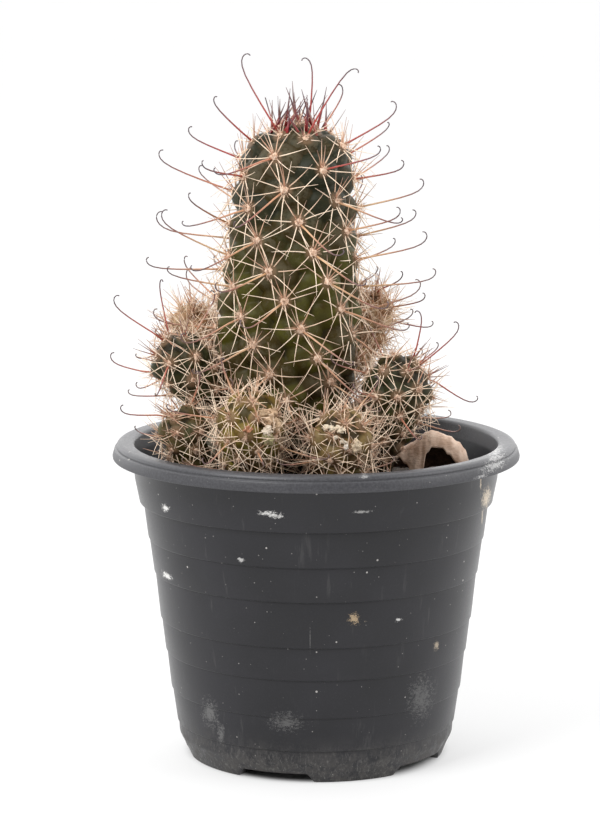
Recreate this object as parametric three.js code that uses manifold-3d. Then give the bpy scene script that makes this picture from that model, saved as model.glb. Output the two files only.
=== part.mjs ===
// A clump of hook-spined cactus in a round plastic nursery pot, in millimetres, +Z up.
// The origin is on the pot's axis at the level of the surface it stands on, and the
// plant's front faces -Y. Angles round an axis run from the front towards +X.

import * as THREE from "three";
import { mergeVertices } from "three/addons/utils/BufferGeometryUtils.js";
import Module from "manifold-3d";

const wasm = await Module();
wasm.setup();

// Pot: moulded plastic, a turned wall with stepped ring lines and a folded rim
const POT_SIDES = 32;
const WALL = 1.3;
const RIM_RADIUS = 64;
const RIM_TOP = 99.9;
const RIM_EDGE = 61.8;
const RIM_INNER = 57.2;
const RIM_UNDERSIDE = 97.7;
const SKIRT_BOTTOM = 94.8;
const SKIRT_THICKNESS = 1.2;
const NECK_RADIUS = 57.1;
const NECK_HEIGHT = 88.7;
const FOOT_RADIUS = 40.4;
const FOOT_THICKNESS = 2.6;
// The foot's wall above the surface that it stands on, as radius and height
const FOOT_WALL = [
  [42, 4],
  [43.4, 6.8],
];
// Ring lines: the wall's radius under each, its height, how far the wall above overhangs
const RINGS = [
  [43.6, 10.6, 0.45],
  [45.5, 21.5, 0.45],
  [47.2, 33.7, 0.45],
  [48.8, 44.2, 0.45],
  [50.7, 58.8, 0.45],
  [52.5, 69.8, 0.45],
  [54.3, 81.1, 1.3],
];
const RING_STEP = 0.5;
const FLOOR_UNDERSIDE = 4.2;
const FLOOR_THICKNESS = 1.6;
const FLOOR_RADIUS = 41.3;
const NOTCHES = 5;
const NOTCH_FIRST_DEG = -18.5;
const NOTCH_WIDTH = 24.6;
const NOTCH_TOP_WIDTH = 20.4;
const NOTCH_HEIGHT = 2.9;
const NOTCH_FROM_AXIS = 31;
const NOTCH_DEPTH = 12;
const DRAIN_RADIUS = 4;
const DRAIN_CIRCLE = 27;

// Soil: dry gritty mix that fills the pot to a hand's width of stems below the rim
const CLEARANCE = 0.3;
const SOCKET_GAP = 0.45;
const SOIL_LEVEL = 87.9;
const SOIL_RADIUS = 54.9;
const SOIL_RINGS = 6;
const SOIL_GAP = 0.4;
const HOLE_DEPTH = 9.7;
const HOLE_HEIGHT = 14;
const HOLE_SIDES = 16;

// Stems: a tapering core, with pointed tubercles set out on a spiral
const GOLDEN_DEG = 137.5;
const MAIN = {
  name: "main_stem",
  colour: 0x6f7456,
  foot: [-11.8, 0, 80.7],
  apex: [-5.6, 0, 198],
  // height of the core and its radius
  core: [
    [80, 11.5],
    [92, 12.5],
    [100, 13.6],
    [110, 15.4],
    [120, 17.2],
    [130, 18.2],
    [140, 17.4],
    [150, 16.6],
    [165, 15.2],
    [181, 13.6],
  ],
  domeBase: 181,
  sides: 44,
  rows: 32,
  tubercle: { height: 5.5, reach: 8.4 },
  // hooks that stand out against the sky: place on the spiral, azimuth, elevation, length
  hooks: [
    [-24, -72, 70, 26.5],
    [-22, 112, 59, 26.9],
    [-21, 79, 55, 26.4],
    [-19, -62, 45, 19],
    [-18, 80, 34, 20.8],
    [-14, -101, 25, 19.1],
    [-13, 78, 18, 19],
    [-11, -41, 14, 19],
    [-10, 54, 15, 19],
    [-6, -99, 24, 26.1],
    [-2, 100, 16, 22.2],
    [2, -47, 30, 19],
    [3, 66, 18, 19],
    [6, 100, 17, 20.2],
    [7, -97, 9, 25.3],
    [10, -80, 30, 24.5],
    [11, 80, 16, 23.6],
    [14, 128, 16, 19],
    [15, -96, 3, 24.5],
    [18, -79, 15, 20.9],
    [19, 80, 9, 24.1],
    [23, -136, 34, 19],
  ],
};
const MAIN_FIRST = -30;
const MAIN_LAST = 66;
const MAIN_SPIRAL_DEG = [4.35, 136.74];
const MAIN_SPIRAL_Z = [169.6, -1.1967, 0.0026];
const DOME_SQUASH = 0.84;
const CROWN_LAST = -21;
const CROWN_DEPTH = 5;

const OFFSETS = [
  {
    name: "offset_left",
    colour: 0x56603f,
    foot: [-20.5, -1, 107],
    elbow: [-33, -9.5, 113.5],
    apex: [-46.6, -13.3, 132.9],
    radius: 9.6,
    footRadius: 3.8,
    sprouts: true,
    turnDeg: 20,
    hooks: [
      [0, -78, 26, 20.5],
      [1, -148, 70, 17.6],
      [2, -77, 10, 20],
      [5, -22, -42, 13],
      [7, -101, 16, 14.6],
      [11, -51, -55, 13.3],
      [15, -99, 1, 13.8],
    ],
  },
  {
    name: "offset_low_left",
    colour: 0x667044,
    foot: [-33, -20, 79.7],
    elbow: [-36, -18.5, 104],
    apex: [-43.6, -26.9, 111.2],
    radius: 8.2,
    footRadius: 4.3,
    turnDeg: 75,
    hooks: [[1, -76, 6, 14.9]],
  },
  {
    name: "offset_front_left",
    colour: 0x7c8048,
    foot: [-20.5, -27, 79.7],
    elbow: [-19.8, -29, 107],
    apex: [-20, -40.7, 118.1],
    radius: 10.6,
    footRadius: 6,
    turnDeg: 110,
    hooks: [],
  },
  {
    name: "offset_front_right",
    colour: 0x8a8350,
    foot: [6.5, -27.5, 79.7],
    elbow: [6.6, -28.5, 104],
    apex: [7.9, -40, 112],
    radius: 10.4,
    footRadius: 6,
    turnDeg: 48,
    hooks: [],
  },
  {
    name: "offset_right",
    colour: 0x535d3e,
    foot: [17, -8, 79.7],
    elbow: [18.5, -11, 114],
    apex: [30.7, -17, 126],
    radius: 11,
    footRadius: 5,
    turnDeg: 62,
    hooks: [
      [0, 80, 45, 17.8],
      [1, 62, 81, 14.5],
      [3, 94, -30, 17.2],
    ],
  },
  {
    name: "offset_back_right",
    colour: 0x5d6645,
    foot: [-1, 10, 117],
    elbow: [15, 18, 121],
    apex: [18.7, 19.3, 143.6],
    radius: 7.6,
    footRadius: 3.8,
    sprouts: true,
    turnDeg: 8,
    hooks: [
      [0, 42, 25, 14],
      [6, 101, -9, 14],
    ],
  },
  {
    name: "offset_back_left",
    colour: 0x5d6645,
    foot: [-20.7, 8.9, 116.5],
    elbow: [-37.2, 17.5, 118],
    apex: [-40, 17.9, 139.9],
    radius: 7.4,
    footRadius: 3.8,
    sprouts: true,
    turnDeg: 96,
    hooks: [],
  },
];
const OFFSET_TUBERCLE = { height: 3.4, reach: 5, area: 57 };
const OFFSET_SIDES = 18;
const OFFSET_ROWS = 11;
const BARE_FOOT = 9;
const TIP_LIFT = 0.12;
const TIP_ROUND = 0.3;

// Spines: straight radials round each woolly point, and hooked centrals
const RADIAL_LENGTH = 10;
const RADIAL_RADIUS = 0.3;
const RADIAL_TIP_RADIUS = 0.1;
const RADIAL_LEAN_DEG = 64;
const RADIALS = 2;
const HOOK_RADIUS = 0.42;
const HOOK_TIP_RADIUS = 0.18;
const HOOK_BEND_RADIUS = 1.7;
const HOOK_BEND_DEG = 160;
const HOOK_LENGTH_MAIN = 20;
const HOOK_LENGTH_OFFSET = 15;
const ROOT_DEPTH = 1.2;
const HOOKS_DOWN_TO = 117.7;
const MAIN_RADIALS_DOWN_TO = 114.7;
const OFFSET_RADIALS_DOWN_TO = 102.7;
const SPINE_GAP = 0.9;
const HEAD_GAP = 0.45;
const SPINES_LEFT_END = -66.2;
const SPINES_REACH = 69;

// Loose things on the soil, and how far the spines keep from the middle of each
const LEAF = {
  x: 36.3,
  y: 2,
  length: 24.5,
  width: 15,
  height: 13.5,
  thickness: 0.9,
  turnDeg: -6,
  berth: 15.5,
};
const FLAKE = {
  x: 22,
  y: -34,
  length: 9,
  width: 5,
  height: 2.2,
  thickness: 0.8,
  turnDeg: 25,
  berth: 6.5,
};
const SCRAP_ROWS = 9;
const SCRAP_COLUMNS = 4;

const radians = THREE.MathUtils.degToRad;

// A repeatable pseudo-random number in -1..1 for a pair of whole numbers
function chance(a, b) {
  const s = Math.sin(a * 127.1 + b * 311.7 + 74.7) * 43758.5453;
  return 2 * (s - Math.floor(s)) - 1;
}

// Direction from an azimuth, counted from the front towards +X, and an elevation
function heading(azimuthDeg, elevationDeg) {
  const a = radians(azimuthDeg);
  const e = radians(elevationDeg);
  return new THREE.Vector3(Math.sin(a) * Math.cos(e), -Math.cos(a) * Math.cos(e), Math.sin(e));
}

function toSolid(geometry) {
  const bare = geometry.clone();
  bare.deleteAttribute("normal");
  bare.deleteAttribute("uv");
  const merged = mergeVertices(bare, 1e-4);
  const corners = merged.index.array;
  const kept = [];
  for (let i = 0; i < corners.length; i += 3) {
    const [a, b, c] = corners.slice(i, i + 3);
    if (a !== b && b !== c && c !== a) kept.push(a, b, c);
  }
  return new wasm.Manifold(
    new wasm.Mesh({
      numProp: 3,
      vertProperties: Float32Array.from(merged.attributes.position.array),
      triVerts: Uint32Array.from(kept),
    }),
  );
}

function toMesh(name, solid, { color, roughness, metalness = 0 }) {
  const { vertProperties, triVerts } = solid.simplify(0.004).getMesh();
  const geometry = new THREE.BufferGeometry();
  geometry.setAttribute("position", new THREE.BufferAttribute(vertProperties, 3));
  geometry.setIndex(new THREE.BufferAttribute(triVerts, 1));
  geometry.computeVertexNormals();
  const mesh = new THREE.Mesh(
    geometry,
    new THREE.MeshStandardMaterial({ color, roughness, metalness, flatShading: true }),
  );
  mesh.name = name;
  return mesh;
}

// A solid turned round Z from a closed outline of [radius, height] points
function turned(outline, sides) {
  const points = outline.map(([r, z]) => new THREE.Vector2(r, z));
  points.push(points[0].clone());
  return toSolid(new THREE.LatheGeometry(points, sides).rotateX(Math.PI / 2));
}

// A closed grid of rows and columns: at(i, j) gives each point, columns wrap round,
// and the first and last rows are single points
function wrapped(rows, columns, at) {
  const positions = [];
  const index = [];
  for (let i = 0; i <= rows; i += 1) {
    for (let j = 0; j < columns; j += 1) {
      positions.push(...at(i, j).toArray());
    }
  }
  const id = (i, j) => {
    if (i === 0 || i === rows) return i * columns;
    return i * columns + ((j + columns) % columns);
  };
  for (let i = 0; i < rows; i += 1) {
    for (let j = 0; j < columns; j += 1) {
      const a = id(i, j);
      const b = id(i, j + 1);
      const c = id(i + 1, j + 1);
      const d = id(i + 1, j);
      if (a !== b) index.push(a, c, b);
      if (c !== d) index.push(a, d, c);
    }
  }
  const geometry = new THREE.BufferGeometry();
  geometry.setAttribute("position", new THREE.Float32BufferAttribute(positions, 3));
  geometry.setIndex(index);
  return geometry;
}

// Pot wall, rim, foot ring and floor, as one turned outline, then cut
function makePot() {
  const outside = [[FOOT_RADIUS, 0], ...FOOT_WALL];
  const inside = [];
  for (const [radius, height, overhang] of RINGS) {
    outside.push([radius, height - RING_STEP], [radius + overhang, height]);
    inside.unshift([radius - WALL, height]);
  }
  outside.push([NECK_RADIUS, NECK_HEIGHT], [RIM_INNER + 0.6, RIM_UNDERSIDE]);
  const rim = [
    [RIM_RADIUS - SKIRT_THICKNESS, RIM_UNDERSIDE],
    [RIM_RADIUS - SKIRT_THICKNESS, SKIRT_BOTTOM],
    [RIM_RADIUS - 0.1, SKIRT_BOTTOM],
    [RIM_RADIUS, SKIRT_BOTTOM + 0.8],
    [RIM_RADIUS - 0.7, SKIRT_BOTTOM + 3.3],
    [RIM_EDGE + 1, RIM_TOP - 0.8],
    [RIM_EDGE, RIM_TOP],
    [RIM_INNER, RIM_TOP - 0.3],
    [NECK_RADIUS - WALL, NECK_HEIGHT],
  ];
  const floor = [
    [FLOOR_RADIUS, FLOOR_UNDERSIDE + FLOOR_THICKNESS],
    [0, FLOOR_UNDERSIDE + FLOOR_THICKNESS],
    [0, FLOOR_UNDERSIDE],
    [FOOT_RADIUS - FOOT_THICKNESS + 0.9, FLOOR_UNDERSIDE],
    [FOOT_RADIUS - FOOT_THICKNESS, 0],
  ];
  let pot = turned([...outside, ...rim, ...inside, ...floor], POT_SIDES);

  const slot = new THREE.Shape([
    new THREE.Vector2(-NOTCH_WIDTH / 2, -1),
    new THREE.Vector2(NOTCH_WIDTH / 2, -1),
    new THREE.Vector2(NOTCH_TOP_WIDTH / 2, NOTCH_HEIGHT),
    new THREE.Vector2(-NOTCH_TOP_WIDTH / 2, NOTCH_HEIGHT),
  ]);
  for (let i = 0; i < NOTCHES; i += 1) {
    const turn = radians(NOTCH_FIRST_DEG - (360 / NOTCHES) * i);
    const notch = new THREE.ExtrudeGeometry(slot, { depth: NOTCH_DEPTH, bevelEnabled: false });
    notch.rotateX(Math.PI / 2).translate(0, -NOTCH_FROM_AXIS, 0).rotateZ(turn);
    pot = pot.subtract(toSolid(notch));

    const drain = new THREE.CylinderGeometry(DRAIN_RADIUS, DRAIN_RADIUS, 4 * FLOOR_THICKNESS, 12);
    drain.rotateX(Math.PI / 2).translate(0, -DRAIN_CIRCLE, FLOOR_UNDERSIDE + FLOOR_THICKNESS / 2);
    drain.rotateZ(turn);
    pot = pot.subtract(toSolid(drain));
  }
  return pot;
}

// Height of the uneven soil surface: a long swell, with a shorter one across it
function soilHeight(x, y) {
  const swell = 0.5 * Math.sin(x * 0.19 + 1.1) * Math.cos(y * 0.16);
  const ripple = 0.35 * Math.sin(x * 0.41 - y * 0.33);
  return SOIL_LEVEL + swell + ripple;
}

// Soil: fills the pot, with a plain hole where each stem stands
function makeSoil(heads) {
  const bottom = FLOOR_UNDERSIDE + FLOOR_THICKNESS + CLEARANCE;
  const side = RINGS.map(([radius, height]) => [radius - WALL - SOIL_GAP, height]);
  const foot = [FLOOR_RADIUS - SOIL_GAP, bottom];
  const outline = [[0, bottom], foot, ...side].map(([r, z]) => new THREE.Vector2(r, z));
  for (let i = SOIL_RINGS; i >= 0; i -= 1) {
    outline.push(new THREE.Vector2((SOIL_RADIUS * i) / SOIL_RINGS, SOIL_LEVEL));
  }
  const geometry = new THREE.LatheGeometry(outline, POT_SIDES).rotateX(Math.PI / 2);
  const positions = geometry.attributes.position;
  for (let i = 0; i < positions.count; i += 1) {
    const onTop = positions.getZ(i) > SOIL_LEVEL - 0.01;
    if (onTop) positions.setZ(i, soilHeight(positions.getX(i), positions.getY(i)));
  }
  let soil = toSolid(geometry);
  for (const { spec, axis } of heads.filter((head) => !head.spec.sprouts)) {
    const centre = axis.at(axis.length - 5).point;
    let radius = 0;
    for (let up = 0; up <= BARE_FOOT; up += 1) {
      const { point } = axis.at(axis.length - up);
      const lean = Math.hypot(point.x - centre.x, point.y - centre.y);
      const room = spec.core ? 0.8 : 1.15;
      radius = Math.max(radius, lean + coreRadius(spec, axis, axis.length - up) + room);
    }
    const hole = new THREE.CylinderGeometry(radius, radius, HOLE_HEIGHT, HOLE_SIDES);
    hole.rotateX(Math.PI / 2).translate(centre.x, centre.y, SOIL_LEVEL - HOLE_DEPTH + HOLE_HEIGHT / 2);
    soil = soil.subtract(toSolid(hole));
  }
  return soil;
}

// Axis of a stem, as a point and a direction at a distance below its apex
function axisOf(spec) {
  const foot = new THREE.Vector3(...spec.foot);
  const apex = new THREE.Vector3(...spec.apex);
  const elbow = spec.elbow ? new THREE.Vector3(...spec.elbow) : foot.clone().lerp(apex, 0.5);
  const curve = new THREE.QuadraticBezierCurve3(foot, elbow, apex);
  const length = spec.elbow ? curve.getLength() : apex.z - foot.z;
  const upright = new THREE.Vector3(0, 0, 1);
  return {
    length,
    at(below) {
      const u = THREE.MathUtils.clamp(1 - below / length, 0, 1);
      const along = spec.elbow ? curve.getTangentAt(u) : upright.clone();
      const turn = new THREE.Quaternion().setFromUnitVectors(upright, along);
      return { point: curve.getPointAt(u), turn };
    },
  };
}

// Radius of the core under the tubercles
function coreRadius(spec, axis, below) {
  if (spec.core) {
    const z = spec.apex[2] - below;
    if (z >= spec.domeBase) {
      const rise = (z - spec.domeBase) / (spec.apex[2] - spec.domeBase);
      return spec.core.at(-1)[1] * Math.sqrt(Math.max(0, 1 - rise * rise));
    }
    const k = Math.max(1, spec.core.findIndex(([height]) => height >= z));
    const [z0, r0] = spec.core[k - 1];
    const [z1, r1] = spec.core[k];
    return THREE.MathUtils.lerp(r0, r1, THREE.MathUtils.clamp((z - z0) / (z1 - z0), 0, 1));
  }
  const core = spec.radius - OFFSET_TUBERCLE.height;
  if (below < core) return core * Math.sqrt(Math.max(0, 1 - (1 - below / core) ** 2));
  const x = (below - core) / (axis.length - core);
  return core + (Math.min(spec.footRadius, core) - core) * x ** 1.15;
}

// A point of the core's surface and the outward normal there
function surfacePoint(spec, axis, below, angle) {
  const { point, turn } = axis.at(below);
  const outward = new THREE.Vector3(Math.sin(angle), -Math.cos(angle), 0).applyQuaternion(turn);
  const along = new THREE.Vector3(0, 0, 1).applyQuaternion(turn);
  const reach = coreRadius(spec, axis, below);
  const step = 0.4;
  const above = coreRadius(spec, axis, Math.max(0, below - step));
  const under = coreRadius(spec, axis, below + step);
  const run = below + step - Math.max(0, below - step);
  const normal = outward.clone().multiplyScalar(run).addScaledVector(along, under - above).normalize();
  if (below < 0.01) normal.copy(along);
  return { point: point.addScaledVector(outward, reach), normal, outward, along };
}

// The tubercles of a stem: the base, the direction and the size of each
function tuberclesOf(spec, axis) {
  const list = [];
  const add = (number, below, angle, scale) => {
    const { point, normal, outward, along } = surfacePoint(spec, axis, below, angle);
    const direction = normal.clone().addScaledVector(along, TIP_LIFT).normalize();
    const size = spec.core ? spec.tubercle : OFFSET_TUBERCLE;
    const height = size.height * scale;
    const tip = point.clone().addScaledVector(direction, height);
    const side = new THREE.Vector3().crossVectors(along, outward).normalize();
    const up = new THREE.Vector3().crossVectors(outward, side).normalize();
    up.addScaledVector(direction, -up.dot(direction)).normalize();
    const reach = size.reach * (0.45 + 0.55 * scale);
    list.push({ number, base: point, tip, direction, up, side, height, reach });
  };
  if (spec.core) {
    for (let n = MAIN_FIRST; n <= MAIN_LAST; n += 1) {
      const areoleZ = MAIN_SPIRAL_Z[0] + MAIN_SPIRAL_Z[1] * n + MAIN_SPIRAL_Z[2] * n * n;
      let z = areoleZ;
      if (areoleZ > spec.domeBase) z = spec.domeBase + (areoleZ - spec.domeBase) * DOME_SQUASH;
      const crown = (n - MAIN_FIRST) / (CROWN_LAST - MAIN_FIRST);
      if (n < CROWN_LAST) z = spec.apex[2] - CROWN_DEPTH * crown ** 1.15;
      const young = THREE.MathUtils.clamp((spec.apex[2] - z) / 8, 0.35, 1);
      const old = THREE.MathUtils.clamp((z - 86) / 14, 0.15, 1);
      const angle = radians(MAIN_SPIRAL_DEG[0] + MAIN_SPIRAL_DEG[1] * n);
      add(n, spec.apex[2] - z, angle, Math.min(young, old));
    }
    return list;
  }
  const core = spec.radius - OFFSET_TUBERCLE.height;
  const pitch = OFFSET_TUBERCLE.area / (2 * Math.PI * spec.radius);
  for (let n = 0; n * pitch < axis.length - BARE_FOOT; n += 1) {
    const below = n === 0 ? 0.02 : pitch * n;
    const young = THREE.MathUtils.clamp(below / core, 0.3, 1);
    const old = THREE.MathUtils.clamp((axis.length - BARE_FOOT - below) / BARE_FOOT, 0.1, 1);
    add(n, below, radians(spec.turnDeg + GOLDEN_DEG * n), Math.min(young, old));
  }
  return list;
}

// How high a cone with a rounded point stands at a share of its reach
function bump(share) {
  const slope = (at) => Math.hypot(at, TIP_ROUND) - TIP_ROUND;
  return share < 1 ? 1 - slope(share) / slope(1) : 0;
}

// The closed surface of a stem with its tubercles raised, let out by a margin
function bodyOf(spec, axis, tubercles, margin = 0) {
  const rows = spec.rows ?? OFFSET_ROWS;
  const sides = spec.sides ?? OFFSET_SIDES;
  const domeRows = Math.round(rows * 0.28);
  const domeDepth = spec.core ? spec.apex[2] - spec.domeBase : spec.radius - OFFSET_TUBERCLE.height;
  return wrapped(rows + 1, sides, (i, j) => {
    let below = axis.length;
    const down = Math.min(1, (i - domeRows) / (rows - domeRows));
    if (i <= domeRows) below = domeDepth * (1 - Math.cos(((i / domeRows) * Math.PI) / 2));
    else below = THREE.MathUtils.lerp(domeDepth, axis.length, down);
    const foot = surfacePoint(spec, axis, axis.length, 0).along.multiplyScalar(-margin);
    if (i === rows + 1) return axis.at(axis.length).point.add(foot);
    const angle = ((j + 0.5 * (i % 2)) / sides) * 2 * Math.PI;
    const { point, normal } = surfacePoint(spec, axis, below, angle);
    if (i === rows) point.add(foot);
    let raise = 0;
    for (const t of tubercles) {
      const far = point.distanceTo(t.base);
      if (far < t.reach) raise = Math.max(raise, t.height * bump(far / t.reach));
    }
    return point.addScaledVector(normal, raise + margin);
  });
}

// A three-sided spine through the given points, thinning to a point
function spine(points, rootRadius, tipRadius) {
  const positions = [];
  const index = [];
  const rings = points.length - 1;
  const first = points[1].clone().sub(points[0]).normalize();
  const helper = Math.abs(first.z) < 0.8 ? new THREE.Vector3(0, 0, 1) : new THREE.Vector3(1, 0, 0);
  let across = new THREE.Vector3().crossVectors(first, helper).normalize();
  for (let i = 0; i < rings; i += 1) {
    const before = points[Math.max(0, i - 1)];
    const along = points[i + 1].clone().sub(before).normalize();
    across = across.addScaledVector(along, -across.dot(along)).normalize();
    const third = new THREE.Vector3().crossVectors(along, across);
    const radius = THREE.MathUtils.lerp(rootRadius, tipRadius, i / rings);
    for (let k = 0; k < 3; k += 1) {
      const a = (k * 2 * Math.PI) / 3;
      const p = points[i].clone().addScaledVector(across, radius * Math.cos(a));
      positions.push(...p.addScaledVector(third, radius * Math.sin(a)).toArray());
    }
  }
  positions.push(...points[rings].toArray());
  index.push(0, 2, 1);
  for (let i = 0; i < rings - 1; i += 1) {
    for (let k = 0; k < 3; k += 1) {
      const a = 3 * i + k;
      const b = 3 * i + ((k + 1) % 3);
      index.push(a, b, b + 3, a, b + 3, a + 3);
    }
  }
  for (let k = 0; k < 3; k += 1) {
    index.push(3 * (rings - 1) + k, 3 * (rings - 1) + ((k + 1) % 3), 3 * rings);
  }
  const geometry = new THREE.BufferGeometry();
  geometry.setAttribute("position", new THREE.Float32BufferAttribute(positions, 3));
  geometry.setIndex(index);
  return geometry;
}

// Root and tip of a straight spine that leans out from a tubercle's point
function radialPoints(t, turn, lean, length) {
  const out = t.up.clone().multiplyScalar(Math.cos(turn)).addScaledVector(t.side, Math.sin(turn));
  const direction = t.direction.clone().multiplyScalar(Math.cos(lean));
  direction.addScaledVector(out, Math.sin(lean));
  const start = t.tip.clone().addScaledVector(t.direction, -0.7).addScaledVector(out, 0.9);
  const root = t.tip.clone().addScaledVector(out, 0.5);
  root.addScaledVector(t.direction, -ROOT_DEPTH - 0.45 * t.height);
  return [root, start.addScaledVector(direction, length)];
}

// A hooked spine's points: its root, the end of its straight run, and the bend
function hookPoints(t, direction, length, roll) {
  const root = t.tip.clone().addScaledVector(t.direction, -ROOT_DEPTH - 0.4 * t.height);
  const rise = new THREE.Vector3(0, 0, 1);
  const up = rise.addScaledVector(direction, -rise.dot(direction)).normalize();
  const side = new THREE.Vector3().crossVectors(direction, up);
  const bend = up.multiplyScalar(Math.cos(roll)).addScaledVector(side, Math.sin(roll));
  const straightEnd = t.tip.clone().addScaledVector(direction, length - HOOK_BEND_RADIUS);
  const points = [root, straightEnd];
  for (const share of [0.5, 1]) {
    const a = radians(HOOK_BEND_DEG) * share;
    const p = straightEnd.clone().addScaledVector(direction, HOOK_BEND_RADIUS * Math.sin(a));
    points.push(p.addScaledVector(bend, HOOK_BEND_RADIUS * (1 - Math.cos(a))));
  }
  return points;
}

// Shortest distance between the straight lines from p to q and from r to s
function gapBetween(p, q, r, s) {
  const d1 = q.clone().sub(p);
  const d2 = s.clone().sub(r);
  const w = p.clone().sub(r);
  const a = d1.dot(d1);
  const b = d1.dot(d2);
  const c = d2.dot(d2);
  const d = d1.dot(w);
  const e = d2.dot(w);
  let u = THREE.MathUtils.clamp((b * e - c * d) / Math.max(a * c - b * b, 1e-9), 0, 1);
  let v = (b * u + e) / c;
  if (v < 0 || v > 1) {
    v = THREE.MathUtils.clamp(v, 0, 1);
    u = THREE.MathUtils.clamp((b * v - d) / a, 0, 1);
  }
  const nearest = p.clone().addScaledVector(d1, u);
  return nearest.distanceTo(r.clone().addScaledVector(d2, v));
}

const heads = [MAIN, ...OFFSETS].map((spec) => {
  const axis = axisOf(spec);
  const tubercles = tuberclesOf(spec, axis);
  const balls = [];
  for (let below = 0; below <= axis.length; below += 2) {
    const bulge = (spec.tubercle ?? OFFSET_TUBERCLE).height;
    balls.push({ centre: axis.at(below).point, radius: coreRadius(spec, axis, below) + bulge + 0.3 });
  }
  return { spec, axis, tubercles, balls, spines: [] };
});

const loose = [LEAF, FLAKE].map(({ x, y, height, berth }) => {
  const centre = new THREE.Vector3(x, y, SOIL_LEVEL + height / 2);
  return { centre, berth };
});

// Whether a spine of one head keeps clear of the other heads, the pot and the soil
function standsClear(head, points) {
  for (let i = 0; i < points.length - 1; i += 1) {
    const steps = Math.max(1, Math.round(points[i].distanceTo(points[i + 1])));
    for (let k = 0; k <= steps; k += 1) {
      const p = points[i].clone().lerp(points[i + 1], k / steps);
      const out = Math.hypot(p.x, p.y);
      if (out > RIM_INNER - 2.5 && p.z < RIM_TOP + 1 && out < RIM_RADIUS + 1) return false;
      if (out <= RIM_INNER && p.z < SOIL_LEVEL + 1.8) return false;
      if (p.x < SPINES_LEFT_END || out > SPINES_REACH) return false;
      if (loose.some(({ centre, berth }) => p.distanceTo(centre) < berth)) return false;
      for (const other of heads) {
        if (other === head) continue;
        const { balls } = other;
        if (balls.some(({ centre, radius }) => p.distanceTo(centre) < radius + HEAD_GAP)) return false;
      }
    }
    for (const other of heads) {
      if (other === head) continue;
      for (const line of other.spines) {
        for (let k = 0; k < line.length - 1; k += 1) {
          if (gapBetween(points[i], points[i + 1], line[k], line[k + 1]) < SPINE_GAP) return false;
        }
      }
    }
  }
  return true;
}

// The spines of a head, each bent aside where it would touch something, or left out
function growSpines(head) {
  const { spec, tubercles } = head;
  const pieces = [];
  const main = Boolean(spec.core);
  const fullHeight = (spec.tubercle ?? OFFSET_TUBERCLE).height;
  const add = (points, rootRadius, tipRadius) => {
    if (!standsClear(head, points)) return false;
    head.spines.push(points);
    pieces.push(spine(points, rootRadius, tipRadius));
    return true;
  };
  for (const t of tubercles) {
    if (t.tip.z < (main ? MAIN_RADIALS_DOWN_TO : OFFSET_RADIALS_DOWN_TO)) continue;
    const grown = t.height / fullHeight;
    for (let k = 0; k < RADIALS; k += 1) {
      const size = THREE.MathUtils.clamp(grown, 0.6, 1) * (1 + 0.1 * chance(t.number, k));
      const aroundDeg = (360 / RADIALS) * (k + 0.5) + 90 * t.number + 12 * chance(t.number, k + 20);
      for (const bent of [0, 14, -14, 28, -28]) {
        const turnDeg = aroundDeg + bent;
        const leanDeg = RADIAL_LEAN_DEG + 6 * chance(t.number, k + 40) - 0.4 * Math.abs(bent);
        const points = radialPoints(t, radians(turnDeg), radians(leanDeg), RADIAL_LENGTH * size);
        if (add(points, RADIAL_RADIUS, RADIAL_TIP_RADIUS)) break;
      }
    }
    const seen = spec.hooks.find(([number]) => number === t.number);
    if (t.tip.z < (main ? HOOKS_DOWN_TO : OFFSET_RADIALS_DOWN_TO) && !seen) continue;
    if (!main && t.number % 3 !== 0 && !seen) continue;
    for (const bent of [0, 12, -12, 24, -24]) {
      let length = (main ? HOOK_LENGTH_MAIN : HOOK_LENGTH_OFFSET) * (1 + 0.12 * chance(t.number, 7));
      if (!main) length *= THREE.MathUtils.clamp(grown, 0.7, 1);
      let direction = t.direction.clone().addScaledVector(t.up, 0.12 + 0.2 * chance(t.number, 8));
      direction.addScaledVector(t.side, 0.2 * chance(t.number, 9)).normalize();
      if (seen) {
        direction = heading(seen[1], seen[2]);
        length = seen[3];
      }
      direction.applyAxisAngle(t.up, radians(bent));
      const points = hookPoints(t, direction, length, seen ? 0 : 0.7 * chance(t.number, 10));
      if (add(points, HOOK_RADIUS, HOOK_TIP_RADIUS)) break;
    }
  }
  return pieces;
}

// A thin curled scrap lying on the soil: an arch across its length, with rounded ends
function scrap({ x, y, length, width, height, thickness, turnDeg }) {
  const rows = SCRAP_ROWS;
  const columns = SCRAP_COLUMNS;
  const place = (u, v, side) => {
    const across = width * v * Math.sqrt(Math.max(0.12, 1 - (1.7 * (u - 0.5)) ** 2));
    const bow = Math.sin(Math.PI * u) ** 0.8;
    const rise = (height - thickness) * bow * (1 - 0.35 * v * v) + thickness * side;
    return new THREE.Vector3(length * (u - 0.5), across, rise);
  };
  const ring = 2 * columns;
  const geometry = wrapped(rows + 2, ring, (i, j) => {
    const u = THREE.MathUtils.clamp((i - 1) / rows, 0, 1);
    if (i === 0 || i === rows + 2) return place(i === 0 ? 0 : 1, 0, 0.5);
    const top = j <= columns;
    const v = top ? j / columns - 0.5 : 0.5 - (j - columns) / columns;
    return place(u, v, top ? 1 : 0);
  });
  geometry.rotateZ(radians(turnDeg)).translate(x, y, CLEARANCE + 0.15);
  const positions = geometry.attributes.position;
  for (let i = 0; i < positions.count; i += 1) {
    positions.setZ(i, positions.getZ(i) + soilHeight(positions.getX(i), positions.getY(i)));
  }
  return toSolid(geometry);
}

function outwards(solid) {
  if (solid.volume() > 0) return solid;
  throw new Error("a surface is turned inside out");
}

const group = new THREE.Group();

group.add(toMesh("pot", outwards(makePot()), { color: 0x424246, roughness: 0.62 }));

group.add(toMesh("soil", outwards(makeSoil(heads)), { color: 0x574a3c, roughness: 0.95 }));

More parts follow.
